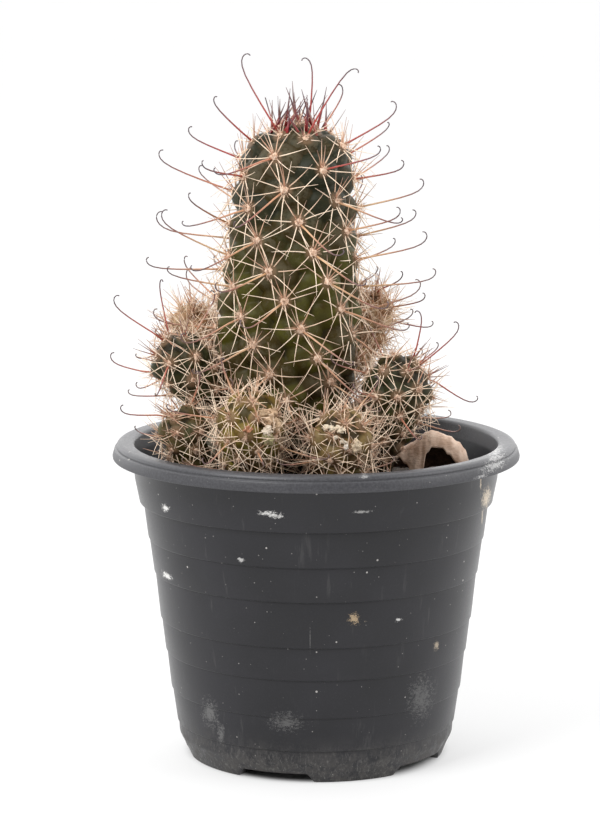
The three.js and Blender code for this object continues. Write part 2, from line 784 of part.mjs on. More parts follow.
for (const head of heads) {
  let body = outwards(toSolid(bodyOf(head.spec, head.axis, head.tubercles)));
  if (head.spec === MAIN) {
    // The sprouting offsets grow out of its side, each from a socket of its own
    for (const { spec, axis, tubercles } of heads.filter((other) => other.spec.sprouts)) {
      body = body.subtract(outwards(toSolid(bodyOf(spec, axis, tubercles, SOCKET_GAP))));
    }
  }
  const spines = growSpines(head).map((geometry) => outwards(toSolid(geometry)));
  const whole = wasm.Manifold.union([body, ...spines]);
  group.add(toMesh(head.spec.name, whole, { color: head.spec.colour, roughness: 0.8 }));
}

group.add(toMesh("dry_leaf", outwards(scrap(LEAF)), { color: 0xa38a72, roughness: 0.85 }));
group.add(toMesh("dry_flake", outwards(scrap(FLAKE)), { color: 0xb39a78, roughness: 0.85 }));

export default group;
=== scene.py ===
import math
import random
from collections import namedtuple

import bmesh
import bpy
import numpy as np
from mathutils import Matrix, Vector, noise


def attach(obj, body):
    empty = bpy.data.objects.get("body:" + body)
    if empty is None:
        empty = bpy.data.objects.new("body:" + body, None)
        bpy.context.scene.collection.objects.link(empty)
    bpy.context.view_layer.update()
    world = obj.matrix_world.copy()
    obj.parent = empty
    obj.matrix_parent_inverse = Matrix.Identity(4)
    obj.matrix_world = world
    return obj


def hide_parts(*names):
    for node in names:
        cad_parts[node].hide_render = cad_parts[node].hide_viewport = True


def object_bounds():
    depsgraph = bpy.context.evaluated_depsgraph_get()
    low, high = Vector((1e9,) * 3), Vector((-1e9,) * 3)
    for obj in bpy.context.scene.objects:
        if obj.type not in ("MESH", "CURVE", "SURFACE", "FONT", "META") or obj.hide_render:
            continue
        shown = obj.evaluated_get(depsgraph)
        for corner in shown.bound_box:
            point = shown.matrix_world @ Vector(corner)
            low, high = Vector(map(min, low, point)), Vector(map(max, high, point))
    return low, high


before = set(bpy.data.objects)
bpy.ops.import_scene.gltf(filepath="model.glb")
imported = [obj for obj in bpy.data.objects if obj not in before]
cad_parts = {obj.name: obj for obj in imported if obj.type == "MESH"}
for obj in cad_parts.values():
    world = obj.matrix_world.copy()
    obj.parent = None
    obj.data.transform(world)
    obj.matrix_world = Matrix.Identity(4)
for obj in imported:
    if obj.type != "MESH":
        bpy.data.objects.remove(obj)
cad_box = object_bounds()


# Pot.
# One thin moulding of black plastic, turned in outline, with stepped ring lines round its wall,
# a rim folded out and down, and a foot ring notched so that water can drain away under the floor.

MM = 0.001
WALL = 1.3
RIM_RADIUS = 64.0
RIM_TOP = 99.9
RIM_EDGE = 61.8
RIM_INNER = 57.2
RIM_UNDERSIDE = 97.7
SKIRT_BOTTOM = 94.8
SKIRT_THICKNESS = 1.2
NECK_RADIUS = 57.1
NECK_HEIGHT = 88.7
FOOT_RADIUS = 40.4
FOOT_THICKNESS = 2.6
FLOOR_UNDERSIDE = 4.2
FLOOR_THICKNESS = 1.6
FLOOR_RADIUS = 41.3
# The wall's radius under each ring line, its height, how far the wall above overhangs
RINGS = (
    (43.6, 10.6, 0.45), (45.5, 21.5, 0.45), (47.2, 33.7, 0.45), (48.8, 44.2, 0.45),
    (50.7, 58.8, 0.45), (52.5, 69.8, 0.45), (54.3, 81.1, 1.3),
)
NOTCHES = 5
NOTCH_FIRST = math.radians(-18.5)
NOTCH_HALF_FOOT = math.asin(12.3 / FOOT_RADIUS)
NOTCH_HALF_TOP = math.asin(10.2 / FOOT_RADIUS)
NOTCH_HEIGHT = 2.9
FOOT_FLARE = 0.4
POT_STEPS = 360


def clamped(value, low=0, high=1):
    return min(max(value, low), high)


def overload(operation, swapped=False):
    """A Python operator that adds a Math node."""
    if swapped:
        return lambda self, other: self.math(operation, other, self)
    return lambda self, other: self.math(operation, self, other)


class Wire:
    """A node socket, on which Python maths adds Math nodes."""

    __add__ = __radd__ = overload("ADD")
    __sub__ = overload("SUBTRACT")
    __rsub__ = overload("SUBTRACT", swapped=True)
    __mul__ = __rmul__ = overload("MULTIPLY")
    __truediv__ = overload("DIVIDE")
    __pow__ = overload("POWER")
    larger = overload("MAXIMUM")

    def __init__(self, nodes, socket):
        self.nodes = nodes
        self.socket = socket

    def math(self, operation, *values):
        return self.nodes.node("ShaderNodeMath", {"operation": operation}, dict(enumerate(values)))

    def smooth(self, low, high):
        """0 at low and 1 at high, eased at both ends; low may be the larger."""
        limits = {"Value": self, "From Min": low, "From Max": high}
        return self.nodes.node("ShaderNodeMapRange", {"interpolation_type": "SMOOTHSTEP"}, limits)


class Nodes:
    """Adds nodes to a tree, and joins them."""

    def __init__(self, tree):
        self.tree = tree

    def node(self, kind, settings=(), inputs=(), output=0):
        made = self.tree.nodes.new(kind)
        for key, value in dict(settings).items():
            setattr(made, key, value)
        for key, value in dict(inputs).items():
            self.feed(made.inputs[key], value)
        return Wire(self, made.outputs[output])

    def feed(self, socket, value):
        if isinstance(value, Wire):
            self.tree.links.new(value.socket, socket)
        elif hasattr(value, "__len__") and len(value) == 3 and socket.type == "RGBA":
            socket.default_value = (*value, 1)
        else:
            socket.default_value = value

    def parts(self, vector):
        """The three numbers of a vector."""
        first = self.node("ShaderNodeSeparateXYZ", inputs={0: vector})
        return [Wire(self, output) for output in first.socket.node.outputs]

    def mix(self, share, first, second):
        settings = {"data_type": "RGBA", "clamp_factor": True}
        return self.node("ShaderNodeMix", settings, {0: share, 6: first, 7: second}, output=2)

    def stretch(self, vector, scale):
        return self.node("ShaderNodeVectorMath", {"operation": "MULTIPLY"}, {0: vector, 1: scale})

    def ramp(self, share, stops):
        """A colour that runs through stops of (share, colour)."""
        made = self.node("ShaderNodeValToRGB", inputs={0: share})
        elements = made.socket.node.color_ramp.elements
        while len(elements) < len(stops):
            elements.new(1)
        for element, (place, colour) in zip(elements, stops):
            element.position = place
            element.color = (*colour, 1)
        return made


class Paint(Nodes):
    """A material with its colour so far, and the sockets of its surface that vary."""

    def __init__(self, name, roughness=0.6, specular=0.5):
        self.material = bpy.data.materials.new(name)
        self.material.use_nodes = True
        super().__init__(self.material.node_tree)
        self.surface = self.tree.nodes["Principled BSDF"].inputs
        self.surface["Roughness"].default_value = roughness
        self.surface["Specular IOR Level"].default_value = specular
        metres = self.node("ShaderNodeTexCoord", output=3)
        self.spot = self.stretch(metres, (1000, 1000, 1000))

    def attributes(self, *names):
        """The values that the mesh keeps under these names."""
        return [self.node("ShaderNodeAttribute", {"attribute_name": name}, output=2) for name in names]

    def noise(self, scale, detail, roughness=0.5, squeeze=(1, 1, 1)):
        spot = self.stretch(self.spot, squeeze)
        sockets = {"Vector": spot, "Scale": scale, "Detail": detail, "Roughness": roughness}
        return self.node("ShaderNodeTexNoise", inputs=sockets)

    def cells(self, scale, output="Distance"):
        sockets = {"Vector": self.spot, "Scale": scale}
        return self.node("ShaderNodeTexVoronoi", inputs=sockets, output=output)

    def picks(self, scale):
        """A random number for each cell."""
        return self.node("ShaderNodeSeparateColor", inputs={0: self.cells(scale, "Color")})

    def colour(self, value):
        self.base = value
        self.feed(self.surface["Base Color"], value)

    def lay(self, share, over):
        """Lays a colour over the one so far."""
        self.colour(self.mix(share, self.base, over))

    def rough(self, value):
        self.feed(self.surface["Roughness"], value)

    def bump(self, height, strength, distance):
        sockets = {"Height": height, "Strength": strength, "Distance": distance * MM}
        self.feed(self.surface["Normal"], self.node("ShaderNodeBump", inputs=sockets))


def finish_piece(name, bm, paints, nodes):
    """Turns a bmesh in millimetres into a piece of the object."""
    bmesh.ops.scale(bm, vec=(MM, MM, MM), verts=bm.verts)
    mesh = bpy.data.meshes.new(name)
    bm.to_mesh(mesh)
    bm.free()
    return finish_mesh(name, mesh, paints, nodes)


def finish_mesh(name, mesh, paints, nodes):
    """Turns a mesh into a piece of the object, which stands in for CAD nodes or adds to them."""
    mesh.shade_smooth()
    for paint in paints:
        mesh.materials.append(paint.material)
    piece = bpy.data.objects.new(name, mesh)
    bpy.context.scene.collection.objects.link(piece)
    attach(piece, "root")
    if nodes:
        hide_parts(*nodes)
    return piece


def spun(outline, steps):
    """A closed skin turned round Z from an outline of (radius, height) points."""
    bm = bmesh.new()
    verts = [bm.verts.new((r, 0, z)) for r, z in outline]
    edges = [bm.edges.new(pair) for pair in zip(verts, verts[1:] + verts[:1])]
    ring = {"angle": 2 * math.pi, "steps": steps, "axis": (0, 0, 1), "cent": (0, 0, 0)}
    bmesh.ops.spin(bm, geom=verts + edges, use_merge=True, **ring)
    bmesh.ops.remove_doubles(bm, verts=bm.verts, dist=1e-4)
    bmesh.ops.recalc_face_normals(bm, faces=bm.faces)
    return bm


def rounded(points, radius, steps=4):
    """The same outline, with each corner rounded off that has a third value, its share of the radius."""
    out = []
    for i, (r, z, *soft) in enumerate(points):
        if not soft:
            out.append((r, z))
            continue
        here = Vector((r, z))
        before = Vector(points[i - 1][:2]) - here
        after = Vector(points[(i + 1) % len(points)][:2]) - here
        cut = min(radius * soft[0], before.length * 0.45, after.length * 0.45)
        start = here + before.normalized() * cut
        end = here + after.normalized() * cut
        for k in range(steps + 1):
            t = k / steps
            out.append(tuple(start * (1 - t) ** 2 + here * 2 * t * (1 - t) + end * t**2))
    return out


# How far out from the foot, how high, and how much the corner is rounded
FOOT_OUTLINE = ((-0.5, 0, 1), (0, 0, 1), (0.8, 2), (1.6, 4), (2.4, 5.6), (3.0, 6.8, 2))
# How far in from the rim's edge and up from its lower edge, and how much the corner is rounded
SKIRT_OUTLINE = ((0.1, 0, 1), (0, 0.8), (0.65, 3.1, 0.5), (1.35, 3.3), (1.2, 3.8, 0.5))
wall = [(FOOT_RADIUS + out, z, *soft) for out, z, *soft in FOOT_OUTLINE]
for ring_radius, ring_height, overhang in RINGS:
    wall += [(ring_radius, ring_height - 0.7), (ring_radius - 0.1, ring_height - 0.1, 0.3)]
    wall += [(ring_radius + overhang, ring_height + 0.05, 0.5)]
wall += [
    (NECK_RADIUS, NECK_HEIGHT),
    (RIM_INNER + 0.6, RIM_UNDERSIDE, 1),
    (RIM_RADIUS - SKIRT_THICKNESS, RIM_UNDERSIDE, 1),
    (RIM_RADIUS - SKIRT_THICKNESS, SKIRT_BOTTOM, 1),
]
wall += [(RIM_RADIUS - inward, SKIRT_BOTTOM + up, *soft) for inward, up, *soft in SKIRT_OUTLINE]
wall += [
    (RIM_EDGE + 0.6, RIM_TOP - 0.5, 1),
    (RIM_EDGE - 0.6, RIM_TOP, 2),
    (RIM_INNER, RIM_TOP - 0.3, 2),
    (NECK_RADIUS - WALL, NECK_HEIGHT),
]
wall += [(ring_radius - WALL, ring_height) for ring_radius, ring_height, _ in reversed(RINGS)]
wall += [
    (FLOOR_RADIUS, FLOOR_UNDERSIDE + FLOOR_THICKNESS),
    (FLOOR_RADIUS - 1.2, FLOOR_UNDERSIDE + FLOOR_THICKNESS),
    (FOOT_RADIUS - FOOT_THICKNESS + 0.9, FLOOR_UNDERSIDE),
    (FOOT_RADIUS - FOOT_THICKNESS, 0),
]
pot_skin = spun(rounded(wall, 0.5), POT_STEPS)
for vert in pot_skin.verts:
    if vert.co.z >= NOTCH_HEIGHT:
        continue
    turn = math.atan2(vert.co.x, -vert.co.y) - NOTCH_FIRST
    off = abs((turn + math.pi / NOTCHES) % (2 * math.pi / NOTCHES) - math.pi / NOTCHES)
    share = clamped((NOTCH_HALF_FOOT - off) / (NOTCH_HALF_FOOT - NOTCH_HALF_TOP))
    lifted = max(vert.co.z, NOTCH_HEIGHT * share)
    grow = 1 + FOOT_FLARE * (lifted - vert.co.z) / FOOT_RADIUS
    vert.co = (vert.co.x * grow, vert.co.y * grow, lifted)

pot_paint = Paint("worn_charcoal_plastic", specular=0.45)
across, depth, height = pot_paint.parts(pot_paint.spot)
front = depth.smooth(0, -14)
haze = pot_paint.noise(0.045, 4)
grain = pot_paint.noise(1.6, 5, 0.65)
pot_paint.colour((0.0036, 0.0034, 0.0056))
pot_paint.lay(haze.smooth(0.3, 0.72), (0.0082, 0.0078, 0.0112))
pot_paint.lay(grain.smooth(0.5, 0.8) * 0.12, (0.06, 0.06, 0.066))

# Thin streaks where hard water has run down
streaks = pot_paint.noise(1, 4, 0.6, squeeze=(0.42, 0.42, 0.035)).smooth(0.6, 0.74)
pot_paint.lay(streaks * haze.smooth(0.42, 0.6) * 0.14, (0.14, 0.135, 0.13))

# Dust and dried mud round the foot, with rubbed grey scratches
mud_field = pot_paint.noise(0.22, 6, 0.75)
mud = height.smooth(17, 2) * mud_field.smooth(0.36, 0.62)
pot_paint.lay(mud * 0.6, (0.085, 0.079, 0.073))
rubbed = pot_paint.noise(1, 6, 0.8, squeeze=(1.4, 1.4, 0.5)).smooth(0.5, 0.68)
pot_paint.lay(height.smooth(15, 3) * rubbed * 0.7, (0.17, 0.165, 0.155))

# Lime: fine white specks all over, with larger ones here and there
specks = (pot_paint.picks(0.33) ** 9 * 0.17 - pot_paint.cells(0.33)).smooth(0.0, 0.05)
fine_specks = (pot_paint.picks(0.8) ** 6 * 0.2 - pot_paint.cells(0.8)).smooth(0.0, 0.08)
lime = specks.larger(fine_specks * 0.6)
pot_paint.lay(lime * 0.85, (0.45, 0.43, 0.41))

# Marks on the front: centre across and up, half width, half height, strength, colour, raggedness
LIME = (0.70, 0.69, 0.67)
BUFF = (0.50, 0.41, 0.30)
SCUFF = (0.15, 0.148, 0.145)
GOLD = (0.38, 0.28, 0.17)
MARKS = (
    (-14.6, 87.3, 3.4, 0.75, 1.0, LIME, 1.8),
    (-12.4, 86.5, 3.0, 0.8, 0.9, LIME, 2.0),
    (-46.2, 84.3, 1.5, 1.5, 1.0, LIME, 1.4),
    (-46.4, 61.0, 2.0, 1.3, 0.95, LIME, 1.5),
    (13.6, 87.7, 3.2, 0.5, 0.5, LIME, 1.7),
    (52.6, 85.0, 2.0, 4.4, 0.95, BUFF, 1.6),
    (50.4, 91.0, 0.35, 3.6, 0.9, BUFF, 0.5),
    (51.6, 78.5, 0.4, 4.0, 0.6, BUFF, 0.6),
    (11.3, 53.5, 1.7, 1.9, 0.95, GOLD, 2.4),
    (14.6, 52.4, 0.5, 0.4, 0.8, BUFF, 1.2),
    (-33.0, 19.5, 2.6, 4.6, 0.6, SCUFF, 3.2),
    (-29.5, 13.5, 1.2, 4.0, 0.6, SCUFF, 2.2),
    (-9.5, 20.3, 5.0, 3.0, 0.5, SCUFF, 3.2),
    (32.4, 24.7, 4.0, 7.0, 0.45, SCUFF, 3.2),
    (-2.0, 47.5, 0.25, 5.6, 0.55, SCUFF, 0.3),
    (-22.9, 71.5, 1.2, 0.8, 0.6, LIME, 1.5),
    (24.9, 52.0, 1.2, 0.7, 0.75, LIME, 1.4),
    (37.0, 41.0, 1.0, 1.6, 0.6, BUFF, 1.4),
    (54.2, 97.6, 4.0, 1.6, 1.0, LIME, 3.4),
    (55.0, 99.4, 3.2, 0.9, 1.0, LIME, 2.8),
    (50.0, 95.6, 2.6, 0.6, 0.9, LIME, 2.2),
    (14.0, 99.4, 1.6, 0.5, 0.8, LIME, 1.8),
)
ragged = pot_paint.noise(1, 8, 0.9, squeeze=(0.8, 0.8, 1.3)) - 0.5
for mark_x, mark_z, half_x, half_z, strength, tint, rough_edge in MARKS:
    aside = (across - mark_x) / half_x
    above = (height - mark_z) / half_z
    away = (aside * aside + above * above) ** 0.5
    inside = (away * 0.55 + ragged * (1.6 + rough_edge)).smooth(0.42, 0.22) * away.smooth(1.9, 1.2)
    pot_paint.lay(inside * front * strength, tint)

# Grey bloom on the rim
rim_band = height.smooth(SKIRT_BOTTOM - 0.6, SKIRT_BOTTOM + 0.2)
bloom = rim_band * (0.45 + grain.smooth(0.35, 0.7) * 0.4)
pot_paint.lay(bloom * (1 - lime), (0.070, 0.070, 0.077))
pot_paint.rough((0.32 + mud * 0.35 + lime * 0.25 + bloom * 0.2) + (grain - 0.5) * 0.2)
pot_paint.bump(grain * 0.4 + lime * 0.8 + mud_field * mud, 0.2, 0.2)
finish_piece("pot_wall", pot_skin, [pot_paint], ["pot"])


# Floor of the pot.
# A flat disc of the same plastic, moulded in one with the foot ring, with round drain holes over
# the notches; here a filled outline with its thickness, which meets the wall all round.

PLATE_RADIUS = FLOOR_RADIUS - 1.7
PLATE_SIDES = 96
DRAIN_SIDES = 32
DRAIN_RADIUS = 4.0
DRAIN_CIRCLE = 27.0
plate = bpy.data.curves.new("pot_floor_outline", "CURVE")
plate.dimensions = "2D"
plate.fill_mode = "BOTH"
plate.extrude = FLOOR_THICKNESS / 2 * MM
circles = [(0.0, 0.0, PLATE_RADIUS, PLATE_SIDES)]
for i in range(NOTCHES):
    turn = NOTCH_FIRST - 2 * math.pi * i / NOTCHES
    centre = (DRAIN_CIRCLE * math.sin(turn), -DRAIN_CIRCLE * math.cos(turn))
    circles.append((*centre, DRAIN_RADIUS, DRAIN_SIDES))
for centre_x, centre_y, radius, sides in circles:
    loop = plate.splines.new("POLY")
    loop.points.add(sides - 1)
    loop.use_cyclic_u = True
    for k, point in enumerate(loop.points):
        turn = 2 * math.pi * k / sides
        x = centre_x + radius * math.cos(turn)
        y = centre_y + radius * math.sin(turn)
        point.co = (x * MM, y * MM, 0, 1)
outline = bpy.data.objects.new("pot_floor_outline", plate)
floor_mesh = bpy.data.meshes.new_from_object(outline)
floor_mesh.name = "pot_floor"
floor_mesh.transform(Matrix.Translation((0, 0, (FLOOR_UNDERSIDE + FLOOR_THICKNESS / 2) * MM)))
bpy.data.objects.remove(outline)
finish_mesh("pot_floor", floor_mesh, [pot_paint], ["pot"])
floor_mesh.shade_flat()


# Soil.
# Dry peat and grit mix, settled about ten millimetres below the rim, with its crumbs, small stones
# and bits of bark lying loose on top.

SOIL_LEVEL = 87.9
SOIL_RADIUS = 54.9
SOIL_GAP = 0.4
SOIL_RINGS = 60
GRIT_COUNT = 900
GRIT_RADIUS = 54.2
GRIT_EDGE = 56.0


def soil_height(x, y):
    """Height of the uneven soil surface: a long swell, with a shorter one across it."""
    swell = 0.5 * math.sin(x * 0.19 + 1.1) * math.cos(y * 0.16)
    ripple = 0.35 * math.sin(x * 0.41 - y * 0.33)
    return SOIL_LEVEL + swell + ripple


soil_bottom = FLOOR_UNDERSIDE + FLOOR_THICKNESS + 0.3
soil_outline = [(0, soil_bottom), (FLOOR_RADIUS - SOIL_GAP, soil_bottom)]
soil_outline += [(ring_radius - WALL - SOIL_GAP, ring_height) for ring_radius, ring_height, _ in RINGS]
soil_outline += [(SOIL_RADIUS * (1 - k / SOIL_RINGS), SOIL_LEVEL) for k in range(SOIL_RINGS)]
soil_outline += [(0, SOIL_LEVEL)]
soil_body = spun(soil_outline, 200)
for vert in soil_body.verts:
    if vert.co.z > SOIL_LEVEL - 0.01:
        x, y, _ = vert.co
        rough_ground = noise.fractal(Vector((x, y, 0)) * 0.35, 0.7, 2.1, 4) * 0.55
        vert.co.z = soil_height(x, y) + rough_ground - 0.1
soil_paint = Paint("dry_potting_mix", roughness=0.95)
crumbs = soil_paint.noise(0.7, 6, 0.7)
pale_bits = soil_paint.cells(0.8)
# The near black base is the mix's own dark brown, made darker still as painted shade among the stems
soil_paint.colour((0.010, 0.0065, 0.0045))
soil_paint.lay(crumbs.smooth(0.35, 0.7), (0.045, 0.029, 0.019))
soil_paint.lay(pale_bits.smooth(0.2, 0.08) * 0.35, (0.16, 0.12, 0.085))
soil_paint.bump(crumbs + pale_bits * 0.3, 0.9, 0.7)
finish_piece("soil_bed", soil_body, [soil_paint], ["soil"])


def template(bm):
    """The corner places and the faces of a small shape that is going to be repeated."""
    places = np.array([vert.co[:] for vert in bm.verts])
    bm.verts.index_update()
    faces = [[vert.index for vert in face.verts] for face in bm.faces]
    bm.free()
    return places, faces


def ball(subdivisions):
    """A unit ball as a template."""
    bm = bmesh.new()
    bmesh.ops.create_icosphere(bm, subdivisions=subdivisions, radius=1)
    return template(bm)


def repeated(name, faces, copies, paint, nodes, values):
    """One piece from copies of a template's corners, with a value of each attribute at each corner."""
    count = len(copies[0])
    mesh = bpy.data.meshes.new(name)
    every = [[i + count * k for i in face] for k in range(len(copies)) for face in faces]
    mesh.from_pydata(np.concatenate(copies) * MM, [], every)
    for key, numbers in values.items():
        layer = mesh.attributes.new(key, "FLOAT", "POINT")
        layer.data.foreach_set("value", np.concatenate(numbers).astype(np.float32))
    mesh.update()
    return finish_mesh(name, mesh, [paint], nodes)


grit_paint = Paint("grit_and_bark", roughness=0.9)
grit_colours = (
    (0.0, (0.014, 0.009, 0.006)),
    (0.5, (0.050, 0.032, 0.021)),
    (0.82, (0.14, 0.098, 0.064)),
    (1.0, (0.42, 0.34, 0.26)),
)
grit_paint.colour(grit_paint.ramp(*grit_paint.attributes("tone"), grit_colours))
mottle = grit_paint.noise(1.8, 4)
grit_paint.lay(mottle.smooth(0.4, 0.7) * 0.4, (0.05, 0.036, 0.026))
grit_paint.bump(mottle, 0.5, 0.3)

seeds = random.Random(7)
pebble_places, pebble_faces = ball(1)
grit, grit_tone = [], []
for _ in range(GRIT_COUNT):
    radius = GRIT_RADIUS * math.sqrt(seeds.random())
    turn = seeds.uniform(0, 2 * math.pi)
    x, y = radius * math.sin(turn), -radius * math.cos(turn)
    size = min(0.35 + 1.1 * seeds.random() ** 3, (GRIT_EDGE - radius) * 0.5)
    shape = np.array([seeds.uniform(0.6, 1.3), seeds.uniform(0.6, 1.3), seeds.uniform(0.4, 0.9)])
    lumps = np.array([seeds.uniform(0.75, 1.2) for _ in pebble_places])[:, None]
    turned = np.array(Matrix.Rotation(seeds.uniform(0, 6.28), 3, "Z"))
    grain_places = (pebble_places * lumps * shape * size) @ turned.T
    grit.append(grain_places + (x, y, soil_height(x, y) + 0.2 * size))
    grit_tone.append(np.full(len(pebble_places), seeds.random() ** 1.4))
repeated("soil_grit", pebble_faces, grit, grit_paint, [], {"tone": grit_tone})


# Curled dry leaf.
# A dead leaf blown onto the soil, curled over into a hood, hollow below; its inner face is dark brown,
# deepened by painted shade;
# thin and papery, tan outside, with faint veins and a torn front edge.

LEAF_LEFT = 22.6
LEAF_RIGHT = 48.6
LEAF_MIDDLE = 2.0
LEAF_HALF_DEPTH = 6.6
LEAF_TURN = math.radians(-6)
LEAF_LEAN = 1.2
LEAF_THICKNESS = 0.6
# How deep the creases of the dry pieces are, and how near the soil they come
CREASE = 0.5
LOWEST_DRY = 0.5
# Share of the length, height of the crown there, height of the front edge
LEAF_SECTIONS = (
    (0.0, 7.6, 5.0), (0.12, 10.0, 6.6), (0.2, 9.6, 4.2), (0.29, 10.6, 0.4),
    (0.4, 12.4, 1.2), (0.47, 13.3, 7.4), (0.53, 13.8, 9.6), (0.65, 13.9, 9.4),
    (0.75, 13.2, 7.2), (0.86, 11.4, 4.0), (0.94, 8.8, 1.0), (1.0, 4.6, 0.4),
)


def eased(share, stops):
    """The values at a share of the way, eased from each stop to the next."""
    for (low, *first), (high, *last) in zip(stops, stops[1:]):
        if share <= high:
            t = (share - low) / (high - low)
            return [a + (b - a) * t * t * (3 - 2 * t) for a, b in zip(first, last)]


def dry_paint(name, dark, pale, vein_strength):
    paint = Paint(name, roughness=0.75)
    patches = paint.noise(0.22, 5, 0.6)
    fibres = paint.noise(1.2, 5, 0.6, squeeze=(0.25, 1.1, 0.9))
    paint.colour(dark)
    paint.lay(patches.smooth(0.36, 0.62), pale)
    paint.lay(fibres.smooth(0.5, 0.7) * vein_strength, tuple(c * 0.5 for c in dark))
    paint.bump(fibres + patches * 0.6, 0.6, 0.5)
    return paint


def thicken(piece, millimetres):
    shell = piece.modifiers.new("thickness", "SOLIDIFY")
    shell.thickness = millimetres * MM
    shell.offset = -1
    shell.material_offset = 1


leaf_outside = dry_paint("dry_leaf_outside", (0.55, 0.37, 0.265), (0.74, 0.56, 0.44), 0.15)
# The inner face's dark brown is partly painted shade for the hollow under the hood
leaf_inside_painted_shade = dry_paint("dry_leaf_inside", (0.085, 0.045, 0.028), (0.20, 0.115, 0.070), 0.4)
leaf_centre = (LEAF_LEFT + LEAF_RIGHT) / 2
leaf = bmesh.new()
bmesh.ops.create_grid(leaf, x_segments=70, y_segments=30, size=1)
for vert in leaf.verts:
    share, over = (vert.co.x + 1) / 2, (vert.co.y + 1) / 2
    crown, edge = eased(share, LEAF_SECTIONS)
    start = math.asin(min(edge / crown, 0.98))
    lift = start + (math.pi - 0.08 - start) * over
    narrow = 1 - 0.35 * abs(2 * share - 1) ** 3
    x = LEAF_LEFT + (LEAF_RIGHT - LEAF_LEFT) * share + LEAF_LEAN * math.cos(lift) * (1 - share)
    y = LEAF_MIDDLE - LEAF_HALF_DEPTH * narrow * math.cos(lift)
    z = crown * math.sin(lift) ** 0.85
    crease = noise.fractal(Vector((share * 5, over * 2.5, 3.3)), 0.8, 2, 4) * CREASE
    along, off = x - leaf_centre, y - LEAF_MIDDLE
    x = leaf_centre + along * math.cos(LEAF_TURN) - off * math.sin(LEAF_TURN)
    y = LEAF_MIDDLE + along * math.sin(LEAF_TURN) + off * math.cos(LEAF_TURN)
    vert.co = (x, y + crease, soil_height(x, y) + max(z + crease, LOWEST_DRY))
leaf_piece = finish_piece("dry_leaf_sheet", leaf, [leaf_outside, leaf_inside_painted_shade], ["dry_leaf"])
thicken(leaf_piece, LEAF_THICKNESS)


# Small dry flake.
# A scrap of the same dead leaf, thin and papery, that lies loose at the front right, nearly flat
# on the soil and a little bowed along its length.

FLAKE_PLACE = (22.0, -34.0)
FLAKE_SIZE = (9.0, 5.0, 2.2)
FLAKE_TURN = math.radians(25)
FLAKE_THICKNESS = 0.4
flake = bmesh.new()
bmesh.ops.create_grid(flake, x_segments=20, y_segments=12, size=1)
for vert in flake.verts:
    u, v, _ = vert.co
    narrow = math.sqrt(max(0.12, 1 - (0.85 * u) ** 2))
    flat = Vector((FLAKE_SIZE[0] * u / 2, FLAKE_SIZE[1] * v / 2 * narrow, 0))
    flat = Matrix.Rotation(FLAKE_TURN, 3, "Z") @ flat
    bow = max(math.cos(math.pi * u / 2), 0) ** 0.8
    crease = noise.fractal(Vector((u * 2.2, v * 2.2, 8.1)), 0.8, 2, 4) * CREASE
    rise = (FLAKE_SIZE[2] - 1.2) * bow * (1 - 0.12 * v * v) + 0.7 + crease
    x, y = FLAKE_PLACE[0] + flat.x, FLAKE_PLACE[1] + flat.y
    vert.co = (x, y, soil_height(x, y) + max(rise, LOWEST_DRY))
# The flake's underside takes the same dark inner paint, with its painted shade
flake_paints = [leaf_outside, leaf_inside_painted_shade]
flake_piece = finish_piece("dry_flake_sheet", flake, flake_paints, ["dry_flake"])
thicken(flake_piece, FLAKE_THICKNESS)


# Main stem.
# A living column of green flesh whose surface rises in plump tubercles along crossing spirals.
# Each tubercle ends in a woolly point that bears a star of straight spines and one long hooked one.

GOLDEN = math.radians(137.5)
MAIN = dict(
    name="main_stem",
    foot=(-11.8, 0, 80.7),
    apex=(-5.6, 0, 198),
    core=(
        (80, 11.5), (92, 12.5), (100, 13.6), (110, 15.4), (120, 17.2), (130, 18.2),
        (140, 17.4), (150, 16.6), (165, 15.2), (181, 13.6),
    ),
    dome=181,
    bulge=5.5,
    reach=8.4,
    red=1.0,
    hooks={
        -28: (-178, 87, 20.3, -1.4), -24: (-72, 70, 26.5), -21: (79, 55, 26.4, 3.1), -19: (-62, 45, 19),
        -18: (80, 34, 20.8), -14: (-101, 25, 19.1), -13: (78, 18, 19), -11: (-41, 14, 19),
        -10: (54, 15, 19), -6: (-99, 24, 26.1), -2: (100, 16, 22.2), 2: (-47, 30, 19),
        3: (66, 18, 19), 6: (100, 17, 20.2), 7: (-97, 9, 25.3), 10: (-80, 30, 24.5),
        11: (80, 16, 23.6), 14: (128, 16, 19), 15: (-96, 3, 24.5), 18: (-79, 15, 20.9),
        19: (80, 9, 24.1), 23: (-136, 34, 19),
    },
)
# The tubercles are numbered downwards; number 0 and each step give the turn in degrees, and number
# 0, each step and each step squared give the height
MAIN_FIRST = -30
MAIN_LAST = 66
MAIN_TURN = (4.35, 136.74)
MAIN_HEIGHT = (169.6, -1.1967, 0.0026)
DOME_SQUASH = 0.84
CROWN_LAST = -21
CROWN_DEPTH = 5.0
BARE_FOOT = 9
# How a tubercle's outline is drawn out across and along the stem
WIDENING = 0.88
FLATTENING = 0.4
# Share of the skin's rings that lie on the dome
DOME_RINGS = 0.28
FARTHEST_NEAR = 9.0
# Tubercles grow to full size over a depth below the main stem's tip, and shrink again over a height
# above its foot; each one on an offset has so many square millimetres of skin
GROWN_DEPTH = 8
FOOT_FADE = (86, 14)
SKIN_AREA = 57
Tubercle = namedtuple("Tubercle", "n below base tip to up side scale reach")


def chance(a, b):
    """A repeatable number in -1..1 for a pair of whole numbers."""
    s = math.sin(a * 127.1 + b * 311.7 + 74.7) * 43758.5453
    return 2 * (s - math.floor(s)) - 1


def unit(vectors):
    return vectors / np.maximum(np.linalg.norm(vectors, axis=-1, keepdims=True), 1e-9)


